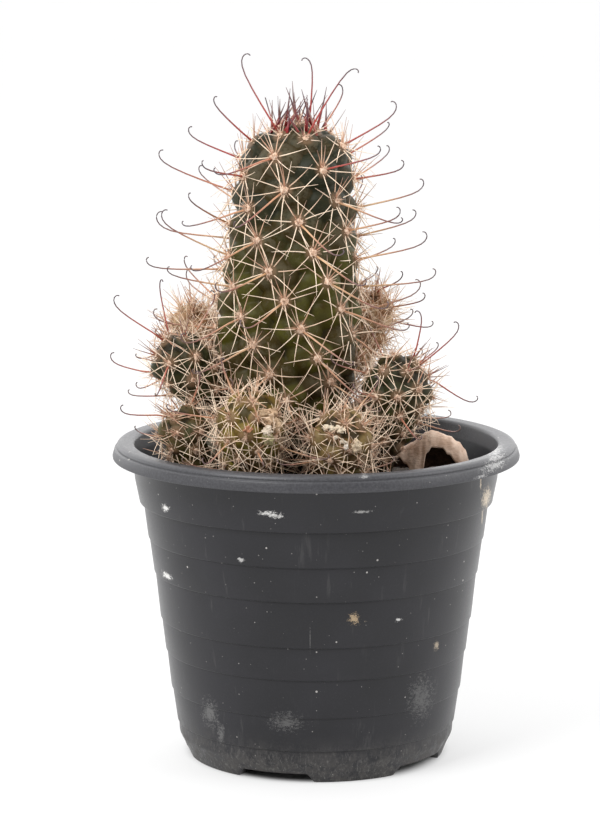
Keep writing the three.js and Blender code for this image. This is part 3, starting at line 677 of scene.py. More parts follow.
class Stem:
    """A stem's axis, its core and its tubercles, in millimetres."""

    def __init__(self, spec):
        self.spec = spec
        self.name = spec["name"]
        self.main = "core" in spec
        self.slot = "stem_flesh" if self.main else "offset_flesh"
        self.top, self.bulge, self.red = spec["apex"][2], spec["bulge"], spec["red"]
        foot, apex = np.array(spec["foot"], float), np.array(spec["apex"], float)
        elbow = np.array(spec.get("elbow", (foot + apex) / 2), float)
        t = np.linspace(0, 1, 201)[:, None]
        self.line = (1 - t) ** 2 * foot + 2 * t * (1 - t) * elbow + t**2 * apex
        self.slope = unit(2 * (1 - t) * (elbow - foot) + 2 * t * (apex - elbow))
        steps = np.linalg.norm(np.diff(self.line, axis=0), axis=1)
        self.run = np.concatenate([[0], np.cumsum(steps)])
        self.length = apex[2] - foot[2] if self.main else self.run[-1]
        self.core_top = spec.get("radius", 0) - self.bulge
        self.tubercles = self.grow()
        marks = np.arange(0, self.length, 2.0)
        self.balls = (self.axis(marks)[0], self.core(marks) + self.bulge)

    def axis(self, below):
        """Points of the axis at depths below the apex, with its slope there."""
        share = np.clip(1 - below / self.length, 0, 1) * self.run[-1]
        point = np.stack([np.interp(share, self.run, self.line[:, k]) for k in range(3)], axis=-1)
        if self.main:
            return point, np.broadcast_to([0.0, 0.0, 1.0], point.shape)
        slope = np.stack([np.interp(share, self.run, self.slope[:, k]) for k in range(3)], axis=-1)
        return point, unit(slope)

    def core(self, below):
        """The core's radius at depths below the apex: a dome, then a column or a tapering stalk."""
        if self.main:
            z = self.top - below
            heights, radii = zip(*self.spec["core"])
            dome = self.spec["dome"]
            rise = np.clip((z - dome) / (self.top - dome), 0, 1)
            return np.where(z >= dome, radii[-1] * np.sqrt(1 - rise**2), np.interp(z, heights, radii))
        inner = self.core_top
        cap = inner * np.sqrt(np.clip(1 - (1 - np.minimum(below, inner) / inner) ** 2, 0, 1))
        x = np.clip((below - inner) / (self.length - inner), 0, 1)
        taper = min(self.spec["foot_radius"], inner) - inner
        return np.where(below < inner, cap, inner + taper * x**1.15)

    def surface(self, below, angle):
        """Points of the core's surface, with the outward normal, the side and the way up there."""
        below, angle = np.asarray(below, float), np.asarray(angle, float)
        point, along = self.axis(below)
        flat = np.stack([np.sin(angle), -np.cos(angle), np.zeros_like(angle)], axis=-1)
        lean = np.cross([0.0, 0.0, 1.0], along)
        outward = flat + np.cross(lean, flat)
        outward = outward + np.cross(lean, np.cross(lean, flat)) / (1 + along[..., 2:3])
        step = 0.4
        high = np.maximum(below - step, 0)
        drop = self.core(below + step) - self.core(high)
        normal = unit(outward * (below + step - high)[..., None] + along * drop[..., None])
        normal = np.where(below[..., None] < 0.01, along, normal)
        return point + outward * self.core(below)[..., None], normal, outward, along

    def spot(self, below, angle):
        """One point of the core's surface, with its directions."""
        return [part[0] for part in self.surface([below], [angle])]

    def grow(self):
        """The tubercles, each with its place, its directions and its share of the full size."""
        rows = []
        if self.main:
            top, dome = self.top, self.spec["dome"]
            for n in range(MAIN_FIRST, MAIN_LAST + 1):
                z = MAIN_HEIGHT[0] + MAIN_HEIGHT[1] * n + MAIN_HEIGHT[2] * n * n
                if z > dome:
                    z = dome + (z - dome) * DOME_SQUASH
                if n < CROWN_LAST:
                    z = top - CROWN_DEPTH * ((n - MAIN_FIRST) / (CROWN_LAST - MAIN_FIRST)) ** 1.15
                scale = min(
                    clamped((top - z) / GROWN_DEPTH, 0.35),
                    clamped((z - FOOT_FADE[0]) / FOOT_FADE[1], 0.15),
                )
                rows.append((n, top - z, math.radians(MAIN_TURN[0] + MAIN_TURN[1] * n), scale))
        else:
            pitch = SKIN_AREA / (2 * math.pi * self.spec["radius"])
            bare = self.spec.get("bare_foot", BARE_FOOT)
            for n in range(int((self.length - bare) / pitch)):
                below = pitch * n if n else 0.02
                young = clamped(below / self.core_top, 0.3)
                old = clamped((self.length - bare - below) / BARE_FOOT, 0.1)
                rows.append((n, below, math.radians(self.spec["turn"]) + GOLDEN * n, min(young, old)))
        numbers, belows, angles, scales = zip(*rows)
        base, normal, outward, along = self.surface(belows, angles)
        point_to = unit(normal + 0.12 * along)
        scales = np.array(scales)
        tip = base + point_to * (self.bulge * scales)[:, None]
        side = unit(np.cross(along, outward))
        up = np.cross(outward, side)
        up = unit(up - point_to * np.sum(up * point_to, axis=1, keepdims=True))
        reach = self.spec["reach"] * (0.45 + 0.55 * scales)
        columns = zip(numbers, belows, base, tip, point_to, up, side, scales, reach)
        return [Tubercle(*values) for values in columns]

    def body(self, columns, rows):
        """The skin of the stem, from a ball whose rings are drawn out along the axis."""
        bm = bmesh.new()
        bmesh.ops.create_uvsphere(bm, u_segments=columns, v_segments=rows, radius=1)
        co = np.array([vert.co[:] for vert in bm.verts])
        polar = np.arccos(np.clip(co[:, 2], -1, 1)) / math.pi
        angle = np.arctan2(co[:, 0], -co[:, 1])
        dome = self.top - self.spec["dome"] if self.main else self.core_top
        last = (rows - 1) / rows
        cap = dome * (1 - np.cos(np.minimum(polar / DOME_RINGS, 1) * math.pi / 2))
        lower = np.clip((polar - DOME_RINGS) / (last - DOME_RINGS), 0, 1)
        below = np.where(polar < DOME_RINGS, cap, dome + (self.length - dome) * lower)
        point, normal, _, _ = self.surface(below, angle)
        rise, crest, shade = np.zeros((3, len(co)))
        for t in self.tubercles:
            gap = point - t.base
            above = gap @ t.up
            far = np.sqrt(np.sum(gap * gap, axis=1) * WIDENING**2 + above**2 * FLATTENING) / t.reach
            swell = plump(far)
            lift = self.bulge * t.scale * swell * (1 + 0.06 * chance(t.n, 3))
            crest = np.where(lift > rise, swell, crest)
            shade = np.where(lift > rise, chance(t.n, 5), shade)
            rise = np.maximum(rise, lift)
        place = point + normal * rise[:, None]
        lumps = [noise.fractal(Vector(where) * 0.11, 0.8, 2.1, 2) for where in place]
        place = place + normal * (0.35 * np.array(lumps) * (polar < last))[:, None]
        near = np.full(len(co), FARTHEST_NEAR)
        for t in self.tubercles:
            near = np.minimum(near, np.linalg.norm(place - t.tip, axis=1))
        place[polar > last + 1e-4] = self.line[0]
        for vert, where in zip(bm.verts, place):
            vert.co = where
        layers = {"crest": crest, "near": near, "below": below, "shade": shade}
        for key, numbers in layers.items():
            layer = bm.verts.layers.float.new(key)
            for vert, number in zip(bm.verts, numbers):
                vert[layer] = number
        bmesh.ops.recalc_face_normals(bm, faces=bm.faces)
        return bm


def plump(share):
    """How high a plump tubercle stands at a share of its reach."""
    inside = np.clip(share / 0.86, 0, 1)
    return (1 - inside**2.1) ** 0.8


def flesh_paint(name, young, grown, old, ages, sheen):
    """Green flesh: painted shade near black in the grooves, a waxy grey coat with painted sheen, browner
    and duller with age; a near black oldest colour is painted shade low down.
    """
    paint = Paint(name, specular=0.13)
    crest, near, below, shade = paint.attributes("crest", "near", "below", "shade")
    blotch = paint.noise(0.16, 4, 0.55)
    scurf = paint.noise(0.6, 6, 0.75)
    fine = paint.noise(2.4, 5, 0.65)
    age = below + (blotch - 0.5) * 24 + shade * 5
    brown = tuple(c * k for c, k in zip(grown, (0.75, 0.5, 0.4)))
    fresh = tuple(c * k for c, k in zip(grown, (1.45, 1.6, 1.2)))
    bright = (blotch + shade * 0.12).smooth(0.46, 0.34) * crest.smooth(0.3, 0.8)
    # A grey waxy coat and painted sheen, in patches on the tubercles' crests
    wax_and_painted_sheen = crest.smooth(0.35, 0.9) * (scurf + shade * 0.12).smooth(0.46, 0.64) * sheen
    paint.colour(young)
    paint.lay(age.smooth(*ages[0]), grown)
    paint.lay(age.smooth(*ages[1]), old)
    paint.lay((blotch + shade * 0.16).smooth(0.46, 0.6) * 0.75, brown)
    paint.lay(bright * age.smooth(*ages[0]) * 0.75, fresh)
    paint.lay(wax_and_painted_sheen, (0.120, 0.106, 0.070))
    paint.lay(fine.smooth(0.58, 0.74) * crest.smooth(0.4, 0.9) * 0.2, (0.17, 0.15, 0.095))
    paint.lay(near.smooth(3.2, 1.6) * 0.7, (0.20, 0.12, 0.07))
    # Painted shade: the grooves between the tubercles, away from their crests, are darkened to near
    # black
    paint.lay(crest.smooth(0.5, 0.05) * 0.78, (0.013, 0.009, 0.003))
    paint.rough(0.34 + wax_and_painted_sheen * 0.5 + fine * 0.2)
    paint.bump(fine * 0.4 + scurf, 0.22, 0.3)
    return paint


main_stem = Stem(MAIN)
main_flesh = flesh_paint(
    "main_stem_flesh", (0.018, 0.0195, 0.0095), (0.048, 0.042, 0.006), (0.055, 0.040, 0.015),
    ((16, 46), (58, 92)), 0.5,
)
finish_piece("main_stem_flesh", main_stem.body(200, 190), [main_flesh], ["main_stem"])


# Offsets.
# Young stems of the same plant, some sprouting from the main stem's side and some from its foot,
# each round-topped and leaning its own way, from dark green behind to olive yellow in front.

OFFSET_BULGE = 3.4
OFFSET_REACH = 5.0
DARK_FLESH = ((0.024, 0.026, 0.010), (0.036, 0.036, 0.010), (0.046, 0.034, 0.014))
PALE_FLESH = ((0.42, 0.29, 0.17), (0.36, 0.24, 0.135), (0.20, 0.13, 0.075))
OFFSETS = (
    dict(
        name="offset_left", foot=(-20.5, -1, 107), elbow=(-33, -9.5, 113.5),
        apex=(-46.6, -13.3, 132.9), radius=9.6, foot_radius=3.8, turn=20, red=0.85,
        hooks={
            0: (-78, 26, 20.5), 1: (-148, 70, 17.6), 2: (-77, 10, 20), 5: (-22, -42, 13),
            7: (-101, 16, 14.6), 11: (-51, -55, 13.3), 15: (-99, 1, 13.8),
        },
        flesh=DARK_FLESH,
    ),
    dict(
        name="offset_low_left", foot=(-33, -20, 79.7), elbow=(-36, -18.5, 104),
        apex=(-43.6, -26.9, 111.2), radius=8.2, foot_radius=4.3, turn=75, red=0.5,
        hooks={1: (-76, 6, 14.9)},
        flesh=((0.050, 0.050, 0.016), (0.078, 0.066, 0.018), (0.060, 0.044, 0.020)),
    ),
    dict(
        name="offset_front_left", foot=(-20.5, -27, 79.7), elbow=(-19.8, -29, 107),
        apex=(-20, -40.7, 118.1), radius=10.6, foot_radius=6, turn=110, red=0.0,
        # Its third, oldest colour is near black: painted shade low down between the front stems
        flesh=((0.175, 0.128, 0.026), (0.125, 0.100, 0.018), (0.022, 0.015, 0.006)),
    ),
    dict(
        name="offset_front_right", foot=(6.5, -27.5, 79.7), elbow=(6.6, -28.5, 104),
        apex=(7.9, -40, 112), radius=10.4, foot_radius=6, turn=48, red=0.1,
        # Its third, oldest colour is near black: painted shade low down between the front stems
        flesh=((0.180, 0.125, 0.048), (0.115, 0.085, 0.028), (0.030, 0.022, 0.009)),
    ),
    dict(
        name="offset_right", foot=(17, -8, 79.7), elbow=(18.5, -11, 114),
        apex=(30.7, -17, 126), radius=11, foot_radius=5, turn=62, red=0.9,
        bare_foot=17,
        hooks={0: (80, 45, 17.8), 1: (62, 81, 14.5), 3: (94, -30, 17.2)},
        flesh=DARK_FLESH,
    ),
    dict(
        name="offset_back_right", foot=(-1, 10, 117), elbow=(15, 18, 121),
        apex=(18.7, 19.3, 143.6), radius=7.6, foot_radius=3.8, turn=8, red=0.7,
        hooks={0: (42, 25, 14), 6: (101, -9, 14)},
        flesh=PALE_FLESH,
    ),
    dict(
        name="offset_back_left", foot=(-20.7, 8.9, 116.5), elbow=(-37.2, 17.5, 118),
        apex=(-40, 17.9, 139.9), radius=7.4, foot_radius=3.8, turn=96, red=0.4,
        flesh=PALE_FLESH,
    ),
)
stems = [main_stem]
for spec in OFFSETS:
    stem = Stem({**spec, "bulge": OFFSET_BULGE, "reach": OFFSET_REACH})
    stems.append(stem)
    paint = flesh_paint(stem.name + "_flesh", *spec["flesh"], ((4, 12), (13, 26)), 0.45)
    finish_piece(stem.name + "_flesh", stem.body(110, 96), [paint], [stem.name])


# Spines.
# Each woolly point carries a star of straight cream spines and a hooked one, red when young, then
# brown with a dark tip, and grey and brittle when old; the flesh holds them by their swollen roots.

STRAIGHT_RINGS = 3
HOOK_RINGS = 13
SPINE_POINT = 0.05
HOOK_POINT = 0.19
HOOK_START = math.radians(-5)
HOOK_RISE = math.radians(16)
HOOK_CURL = math.radians(176)
BOX_TOP = cad_box[1][2] / MM - 0.3
BOX_LEFT = cad_box[0][0] / MM + 0.2
FARTHEST_OUT = 67.0
BURIED = SOIL_LEVEL + 2
# The main stem's spines are fresh above this height and old so far below it; an offset's are old
# at this depth below its tip
FRESH_HEIGHT = 158
AGEING = 55
OFFSET_AGEING = 36
# Depth of the crown, spines in a star, their length and radius, spines that stand out lower down
# and in the crown, their share of the full length, the hooks' radius; and for the young spines of
# the crown their count, spread, lengths, radius and redness
MAIN_HABIT = dict(
    crown=5.2, star=(9, 9, 10), length=12.6, radius=0.225, standing=(2, 1),
    share=1, hook_radius=0.34, young=(26, 3.4, (8, 13.5), 0.5, 1),
)
OFFSET_HABIT = dict(
    crown=3.2, star=(10, 10, 11), length=12.6 * 0.92, radius=0.18, standing=(1, 3),
    share=0.8, hook_radius=0.29, young=(20, 5.0, (5, 9.5), 0.2, 0.3),
)
MAIN_HOOK = 20
OFFSET_HOOK = 15


def tube(sides, rings):
    """A unit tube of rings one apart, closed at both ends, as a template."""
    bm = bmesh.new()
    bmesh.ops.create_circle(bm, segments=sides, radius=1, cap_ends=True)
    end = bm.faces[:]
    for _ in range(rings):
        made = bmesh.ops.extrude_face_region(bm, geom=end)["geom"]
        bmesh.ops.delete(bm, geom=end, context="FACES_ONLY")
        end = [g for g in made if isinstance(g, bmesh.types.BMFace)]
        bmesh.ops.translate(bm, verts=end[0].verts[:], vec=(0, 0, 1))
    bmesh.ops.holes_fill(bm, edges=bm.edges)
    bmesh.ops.recalc_face_normals(bm, faces=bm.faces)
    return template(bm)


class Spines:
    """Gathers spines of one template, each bent along its own path, into one mesh."""

    def __init__(self, sides, rings):
        self.places, self.faces = tube(sides, rings)
        self.ring = np.rint(self.places[:, 2]).astype(int)
        self.copies = []
        self.values = {"along": [], "tone": [], "red": [], "dead": []}

    def add(self, path, root, tip, tone, red=0.0, dead=0.0):
        """One spine along a path, from its radius at the root to that at the tip."""
        path = np.asarray(path)
        slope = unit(np.gradient(path, axis=0))
        helper = np.array([0.0, 0.0, 1.0]) if abs(slope[0][2]) < 0.8 else np.array([1.0, 0.0, 0.0])
        first = unit(np.cross(slope, helper))[self.ring]
        second = np.cross(slope[self.ring], first)
        run = np.concatenate([[0], np.cumsum(np.linalg.norm(np.diff(path, axis=0), axis=1))])
        share = (run / run[-1])[self.ring]
        thick = root + (tip - root) * share
        around = first * self.places[:, :1] + second * self.places[:, 1:2]
        self.copies.append(path[self.ring] + around * thick[:, None])
        for key, number in (("along", share), ("tone", tone), ("red", red), ("dead", dead)):
            self.values[key].append(np.broadcast_to(number, share.shape))

    def mesh(self, name, paint, slot, nodes):
        if self.copies:
            repeated(name, self.faces, self.copies, paint, nodes, self.values)


straight_paint = Paint("straight_spine_horn", roughness=0.45)
along, tone, red, dead = straight_paint.attributes("along", "tone", "red", "dead")
straight_paint.colour((0.96, 0.78, 0.60))
straight_paint.lay(tone, (0.58, 0.30, 0.17))
straight_paint.lay(along.smooth(0.55, 1.0) * tone * 0.8, (0.22, 0.10, 0.085))
young_horn = straight_paint.mix(along.smooth(0.0, 0.6), (0.33, 0.018, 0.022), (0.075, 0.018, 0.030))
straight_paint.lay(red, young_horn)
straight_paint.lay(dead, (0.34, 0.20, 0.14))

hook_paint = Paint("hooked_spine_horn", roughness=0.4)
along, tone, red, dead = hook_paint.attributes("along", "tone", "red", "dead")
hook_paint.colour((0.72, 0.48, 0.27))
hook_paint.lay(tone, (0.50, 0.22, 0.12))
hook_paint.lay(red, (0.36, 0.024, 0.026))
young_horn = hook_paint.mix(red, (0.30, 0.12, 0.085), (0.24, 0.045, 0.05))
hook_paint.lay(along.smooth(0.2, 0.7), young_horn)
hook_paint.lay(along.smooth(0.55, 0.92), (0.085, 0.052, 0.062))
hook_paint.lay(dead, (0.40, 0.27, 0.20))


def heading(azimuth, elevation):
    a, e = math.radians(azimuth), math.radians(elevation)
    return np.array([math.sin(a) * math.cos(e), -math.cos(a) * math.cos(e), math.sin(e)])


def runs_free(path, stem, slack=1.2):
    """Whether a spine stays out of the pot, the ground, the leaf and the other stems."""
    points = np.concatenate([path[:-1], (path[:-1] + path[1:]) / 2, path[1:]])
    x, y, z = points.T
    out = np.hypot(x, y)
    at_rim = (out > RIM_INNER - 1) & (z < RIM_TOP + 0.3)
    in_leaf = (x > LEAF_LEFT + 2) & (abs(y - LEAF_MIDDLE) < 8) & (z < SOIL_LEVEL + 14.5)
    outside = (x < BOX_LEFT) | (z > BOX_TOP) | (out > FARTHEST_OUT) | (z < SOIL_LEVEL + 0.3)
    if np.any(at_rim | in_leaf | outside):
        return False
    # Only a spine with slack may pass in front of the leaf
    before_leaf = (x > LEAF_LEFT + 1.5) & (y < LEAF_MIDDLE) & (z < SOIL_LEVEL + 15)
    if np.count_nonzero(before_leaf) > slack:
        return False
    for centres, radii in (other.balls for other in stems if other is not stem):
        if np.any(np.linalg.norm(points[:, None] - centres, axis=2) - radii < -slack):
            return False
    return True


def straight_path(tip, to, direction, length, bow):
    """A nearly straight line from just under the skin, bowed a little sideways and outwards."""
    share = np.linspace(0, 1, STRAIGHT_RINGS + 1)
    start = tip - 0.9 * to
    side = unit(np.cross(direction, to) + 1e-6)
    line = start + direction * (share * (length + 0.5))[:, None]
    return line + (side * bow[0] + to * bow[1]) * (np.sin(share * math.pi) * length * 0.05)[:, None]


def hook_path(tip, to, direction, length, roll, tightness):
    """A line that sags a little, lifts, and at its very end curls tightly up and back."""
    up = np.array([0.0, 0.0, 1.0])
    up = unit(up - direction * np.dot(up, direction))
    bend = up * math.cos(roll) + np.cross(direction, up) * math.sin(roll)
    fine = np.linspace(0, 1, 401)
    turn = HOOK_START + HOOK_RISE * fine**3 + HOOK_CURL * fine**tightness
    forward = np.concatenate([[0], np.cumsum(np.cos(turn[:-1]))])
    aside = np.concatenate([[0], np.cumsum(np.sin(turn[:-1]))])
    scale = length / forward.max()
    crowding = 0.4 * fine + 0.6 * (turn - turn[0]) / (turn[-1] - turn[0])
    share = np.interp(np.linspace(0, 1, HOOK_RINGS + 1), crowding, fine)
    ahead = np.interp(share, fine, forward) * scale
    over = np.interp(share, fine, aside) * scale
    path = tip + direction * ahead[:, None] + bend * over[:, None]
    path[0] -= 1.2 * to
    return path


def leaning(t, turn, degrees):
    """The direction that leans from a tubercle's own by an angle, and the side it leans to."""
    out = t.up * math.cos(turn) + t.side * math.sin(turn)
    return unit(t.to * math.cos(math.radians(degrees)) + out * math.sin(math.radians(degrees))), out


def grow_star(stem, star, habit, t, age, red, picks):
    """Flat spines all round a woolly point, shorter towards the top, fewer and steeper in a crown."""
    crown = t.below < habit["crown"]
    count = picks.choice(habit["star"]) - 3 * crown
    for k in range(count):
        turn = 2 * math.pi * (k + picks.uniform(-0.25, 0.25)) / count + 0.5 * t.n
        lean = picks.uniform(66, 84)
        if crown:
            lean = picks.uniform(30, 70)
        direction, out = leaning(t, turn, lean)
        upward = max(math.cos(turn), 0)
        length = habit["length"] * clamped(t.scale, 0.6) * picks.uniform(0.85, 1.12)
        length *= (1 - 0.25 * upward) * (0.7 if crown else 1)
        bow = (picks.uniform(-0.7, 0.7), picks.uniform(-0.3, 0.8))
        path = straight_path(t.tip + out * 0.35, t.to, direction, length, bow)
        tone = clamped(picks.gauss(0.03 + 0.45 * upward * stem.main + 0.1 * age, 0.14))
        dead = 0.7 * age * picks.random()
        if runs_free(path, stem):
            star.add(path, habit["radius"], SPINE_POINT, tone, 0.25 * red * picks.random(), dead)


def grow_standing(stem, star, habit, t, age, red, picks):
    """The spines of a star that stand up from it, red in a crown."""
    crown = t.below < habit["crown"]
    for k in range(habit["standing"][crown]):
        turn = picks.uniform(-1.0, 1.0) + (k % 3 - 1) * 0.6
        lean = picks.uniform(5, 32) if crown else picks.uniform(32, 58)
        direction, _ = leaning(t, turn, lean)
        length = picks.uniform(7.5, 11.5) * habit["share"]
        path = straight_path(t.tip, t.to, direction, length, (picks.uniform(-0.6, 0.6), 0.2))
        if runs_free(path, stem):
            blush = red * picks.uniform(0.7, 1) if crown else 0.25 * (1 - age)
            star.add(path, 0.23, SPINE_POINT, picks.uniform(0.55, 0.95), blush, 0.4 * age)


def grow_hook(stem, hooks, habit, t, age, picks):
    """A hooked spine, as the photograph shows it, or else by rule; it turns aside if it's blocked."""
    n, seen = t.n, stem.spec.get("hooks", {}).get(t.n)
    if seen:
        azimuth, elevation, length, *roll = seen
        direction = heading(azimuth, elevation)
        roll = sum(roll) + 0.15 * chance(n, 10)
    elif t.below < habit["crown"] or (not stem.main and n % 3):
        return
    else:
        direction = unit(t.to + t.up * (0.12 + 0.2 * chance(n, 8)) + t.side * 0.2 * chance(n, 9))
        if stem.main and t.to[1] < -0.35:
            down = t.up * (0.75 + 0.25 * chance(n, 8))
            direction = unit(t.to * 0.8 - down + t.side * 0.9 * np.sign(t.to[0]))
        length = MAIN_HOOK if stem.main else OFFSET_HOOK * clamped(t.scale, 0.7)
        length *= 1 + 0.12 * chance(n, 7)
        roll = 0.7 * chance(n, 10)
    tightness = 13 + 5 * chance(n, 11)
    for bent in (0, 12, -12, 24, -24):
        aimed = np.array(Matrix.Rotation(math.radians(bent), 3, Vector(t.up)) @ Vector(direction))
        path = hook_path(t.tip, t.to, aimed, length, roll, tightness)
        if runs_free(path, stem, 0.6):
            fresh = stem.red * clamped((26 - t.below) / 12) * (0.9 if seen else 0.5)
            tone = picks.uniform(0.1, 0.9)
            hooks.add(path, habit["hook_radius"], HOOK_POINT, tone, fresh, age * 0.55)
            return


def grow_crown(stem, star, count, spread, lengths, radius, redness):
    """Young spines that stand crossed over the tip of a stem, crimson with dark points or tan."""
    picks = random.Random(count)
    for k in range(count):
        turn = GOLDEN * k + picks.uniform(-0.4, 0.4)
        root, normal, outward, along = stem.spot(spread * ((k + 0.5) / count) ** 0.8, turn)
        lean = picks.gauss(-0.25, 0.5)
        aside = np.cross(outward, along) * picks.gauss(0, 0.55)
        direction = unit(along + outward * lean + aside)
        path = straight_path(root + normal * 2.6, normal, direction, picks.uniform(*lengths), (0.4, 0))
        if runs_free(path, stem):
            tone, red = picks.uniform(0.2, 0.9), redness * stem.red * picks.uniform(0.75, 1)
            star.add(path, radius, 0.07, tone, red)


for stem in stems:
    habit = MAIN_HABIT if stem.main else OFFSET_HABIT
    star, hooks = Spines(4, STRAIGHT_RINGS), Spines(5, HOOK_RINGS)
    picks = random.Random(len(stem.name) * 31 + int(stem.length * 10))
    for t in stem.tubercles:
        if t.tip[2] < BURIED:
            continue
        age = clamped((FRESH_HEIGHT - t.tip[2]) / AGEING)
        if not stem.main:
            age = min(t.below / OFFSET_AGEING, 1)
        red = stem.red if t.below < habit["crown"] else 0.0
        grow_star(stem, star, habit, t, age, red, picks)
        if t.below > 0.1 or not stem.main:
            grow_standing(stem, star, habit, t, age, red, picks)
        grow_hook(stem, hooks, habit, t, age, picks)
    grow_crown(stem, star, *habit["young"])
    star.mesh(stem.name + "_radial_spines", straight_paint, stem.slot, [stem.name])
    hooks.mesh(stem.name + "_hooked_spines", hook_paint, stem.slot, [stem.name])


# Old spines.
# Where the stems crowd together low down, their dead lower points keep a thicket of old spines,
# beige and pinkish grey, that runs between the heads and over the soil; most are painted browner and
# darker, partly for age and partly as painted shade.

THICKET_TOP = 24.0
THICKET_COUNTS = (330, 130, 40, 12, 16, 110, 520, 520)
CROWDED = 400
OLD_RADIUS = 0.16


def grow_thicket(stem, count):
    """Old spines rooted at random in the skin of a stem's lower part, or all over a crowded one."""
    picks = random.Random(int(stem.length * 7))
    thicket = Spines(3, STRAIGHT_RINGS)
    depths = np.arange(0, stem.length, 1.0)
    heights = stem.axis(depths)[0][:, 2]
    lowest = stem.length - BARE_FOOT - 1
    highest = min(depths[heights > SOIL_LEVEL + THICKET_TOP].max(initial=1), lowest - 4)
    # Low among the heads the spines are painted browner and darker: partly age, partly painted shade
    age = 0.8
    if count > CROWDED:
        highest, age = 1.0, 0.05
    for _ in range(count):
        below = picks.uniform(highest, lowest)
        root, normal, _, along = stem.spot(below, picks.uniform(-math.pi, math.pi))
        tangle = np.array([picks.gauss(0, 1) for _ in range(3)])
        direction = unit(normal * 0.9 + along * 0.3 + tangle * 0.75)
        bow = (picks.uniform(-1.6, 1.6), picks.uniform(-1, 1.4))
        path = straight_path(root + normal * 1.2, normal, direction, picks.uniform(6, 12), bow)
        if runs_free(path, stem, 2.5):
            tone, dead = picks.uniform(0, 0.5 + age * 0.6), picks.uniform(0, age)
            thicket.add(path, OLD_RADIUS, SPINE_POINT, tone, dead=dead)
    thicket.mesh(stem.name + "_old_spines", straight_paint, "dry_leaf", [])


for stem, count in zip(stems, THICKET_COUNTS):
    grow_thicket(stem, count)


# Dried remains.
# Withered flowers, a bud and scraps of skin caught among the spines, and crumbs on the soil: soft
# and light, cream to brown, each stuck fast where it dried.

# Place, size, squash along the height, colour
REMAINS = (
    ((-16.4, -42.6, 115.2), 1.7, 0.8, (0.62, 0.45, 0.29)),
    ((-14.5, -42.2, 113.6), 2.1, 1.0, (0.66, 0.47, 0.31)),
    ((-13.2, -41.6, 115.6), 1.5, 0.9, (0.55, 0.38, 0.24)),
    ((-12.7, -41.6, 111.9), 1.9, 1.1, (0.60, 0.43, 0.28)),
    ((-14.9, -43.8, 110.2), 1.6, 0.9, (0.86, 0.76, 0.62)),
    ((-14.7, -43.4, 107.9), 1.5, 1.4, (0.42, 0.38, 0.20)),
    ((-20.7, -45.3, 110.9), 1.3, 0.7, (0.45, 0.20, 0.105)),
    ((-31.4, -28.6, 104.2), 2.1, 1.9, (0.26, 0.25, 0.19)),
    ((3.2, -40.2, 110.5), 1.4, 0.7, (0.80, 0.70, 0.54)),
    ((4.9, -41.8, 110.5), 1.6, 0.6, (0.84, 0.74, 0.58)),
    ((7.0, -41.8, 110.2), 1.5, 0.7, (0.82, 0.72, 0.56)),
    ((5.6, -42.8, 108.0), 0.8, 0.8, (0.80, 0.72, 0.60)),
    ((7.9, -43.3, 106.8), 0.9, 0.7, (0.80, 0.72, 0.60)),
    ((8.7, -43.8, 105.2), 0.8, 1.0, (0.85, 0.80, 0.72)),
    ((11.8, -42.0, 105.3), 1.8, 1.1, (0.78, 0.64, 0.46)),
    ((-50.0, -15.0, 89.6), 2.6, 0.9, (0.62, 0.42, 0.24)),
    ((-47.6, -18.0, 89.2), 2.4, 0.8, (0.58, 0.38, 0.22)),
    ((-48.6, -12.5, 89.4), 2.2, 0.8, (0.66, 0.47, 0.28)),
    ((-44.4, -24.5, 89.0), 2.0, 0.7, (0.46, 0.34, 0.22)),
    ((23.6, -9.0, 88.9), 2.2, 0.7, (0.80, 0.55, 0.38)),
    ((21.6, -12.0, 88.8), 1.6, 0.6, (0.78, 0.52, 0.36)),
    ((36.0, -7.6, 88.4), 0.9, 0.7, (0.74, 0.56, 0.38)),
    ((38.5, -8.4, 88.4), 0.8, 0.7, (0.70, 0.50, 0.32)),
    ((34.0, -6.2, 88.4), 0.7, 0.7, (0.66, 0.47, 0.30)),
)
remains_paint = Paint("dried_remains", roughness=0.85)
withered = remains_paint.noise(1.1, 5, 0.7)
tints = remains_paint.attributes("warm", "middle", "cold")
joined = remains_paint.node("ShaderNodeCombineXYZ", inputs=dict(enumerate(tints)))
remains_paint.colour(joined)
remains_paint.lay(withered.smooth(0.62, 0.36) * 0.75, remains_paint.stretch(joined, (0.42, 0.36, 0.3)))
remains_paint.bump(withered, 0.8, 0.5)
lump_places, lump_faces = ball(3)
lumps, lump_tints = [], {"warm": [], "middle": [], "cold": []}
for place, size, squash, tint in REMAINS:
    fields = [noise.fractal(Vector(c * 1.5) + Vector(place), 0.9, 2.1, 3) for c in lump_places]
    crumple = 1 + 0.75 * np.array(fields)[:, None]
    lumps.append(lump_places * crumple * (size, size * 0.8, size * squash) + place)
    for key, number in zip(lump_tints, tint):
        lump_tints[key].append(np.full(len(lump_places), number))
repeated("dried_remains", lump_faces, lumps, remains_paint, [], lump_tints)


# Wool.
# A tuft of short matted cream wool sits on every tubercle's point, round the spines' roots, with
# loose hairs that stand out of it; the plant grows it there, thicker on the main stem.

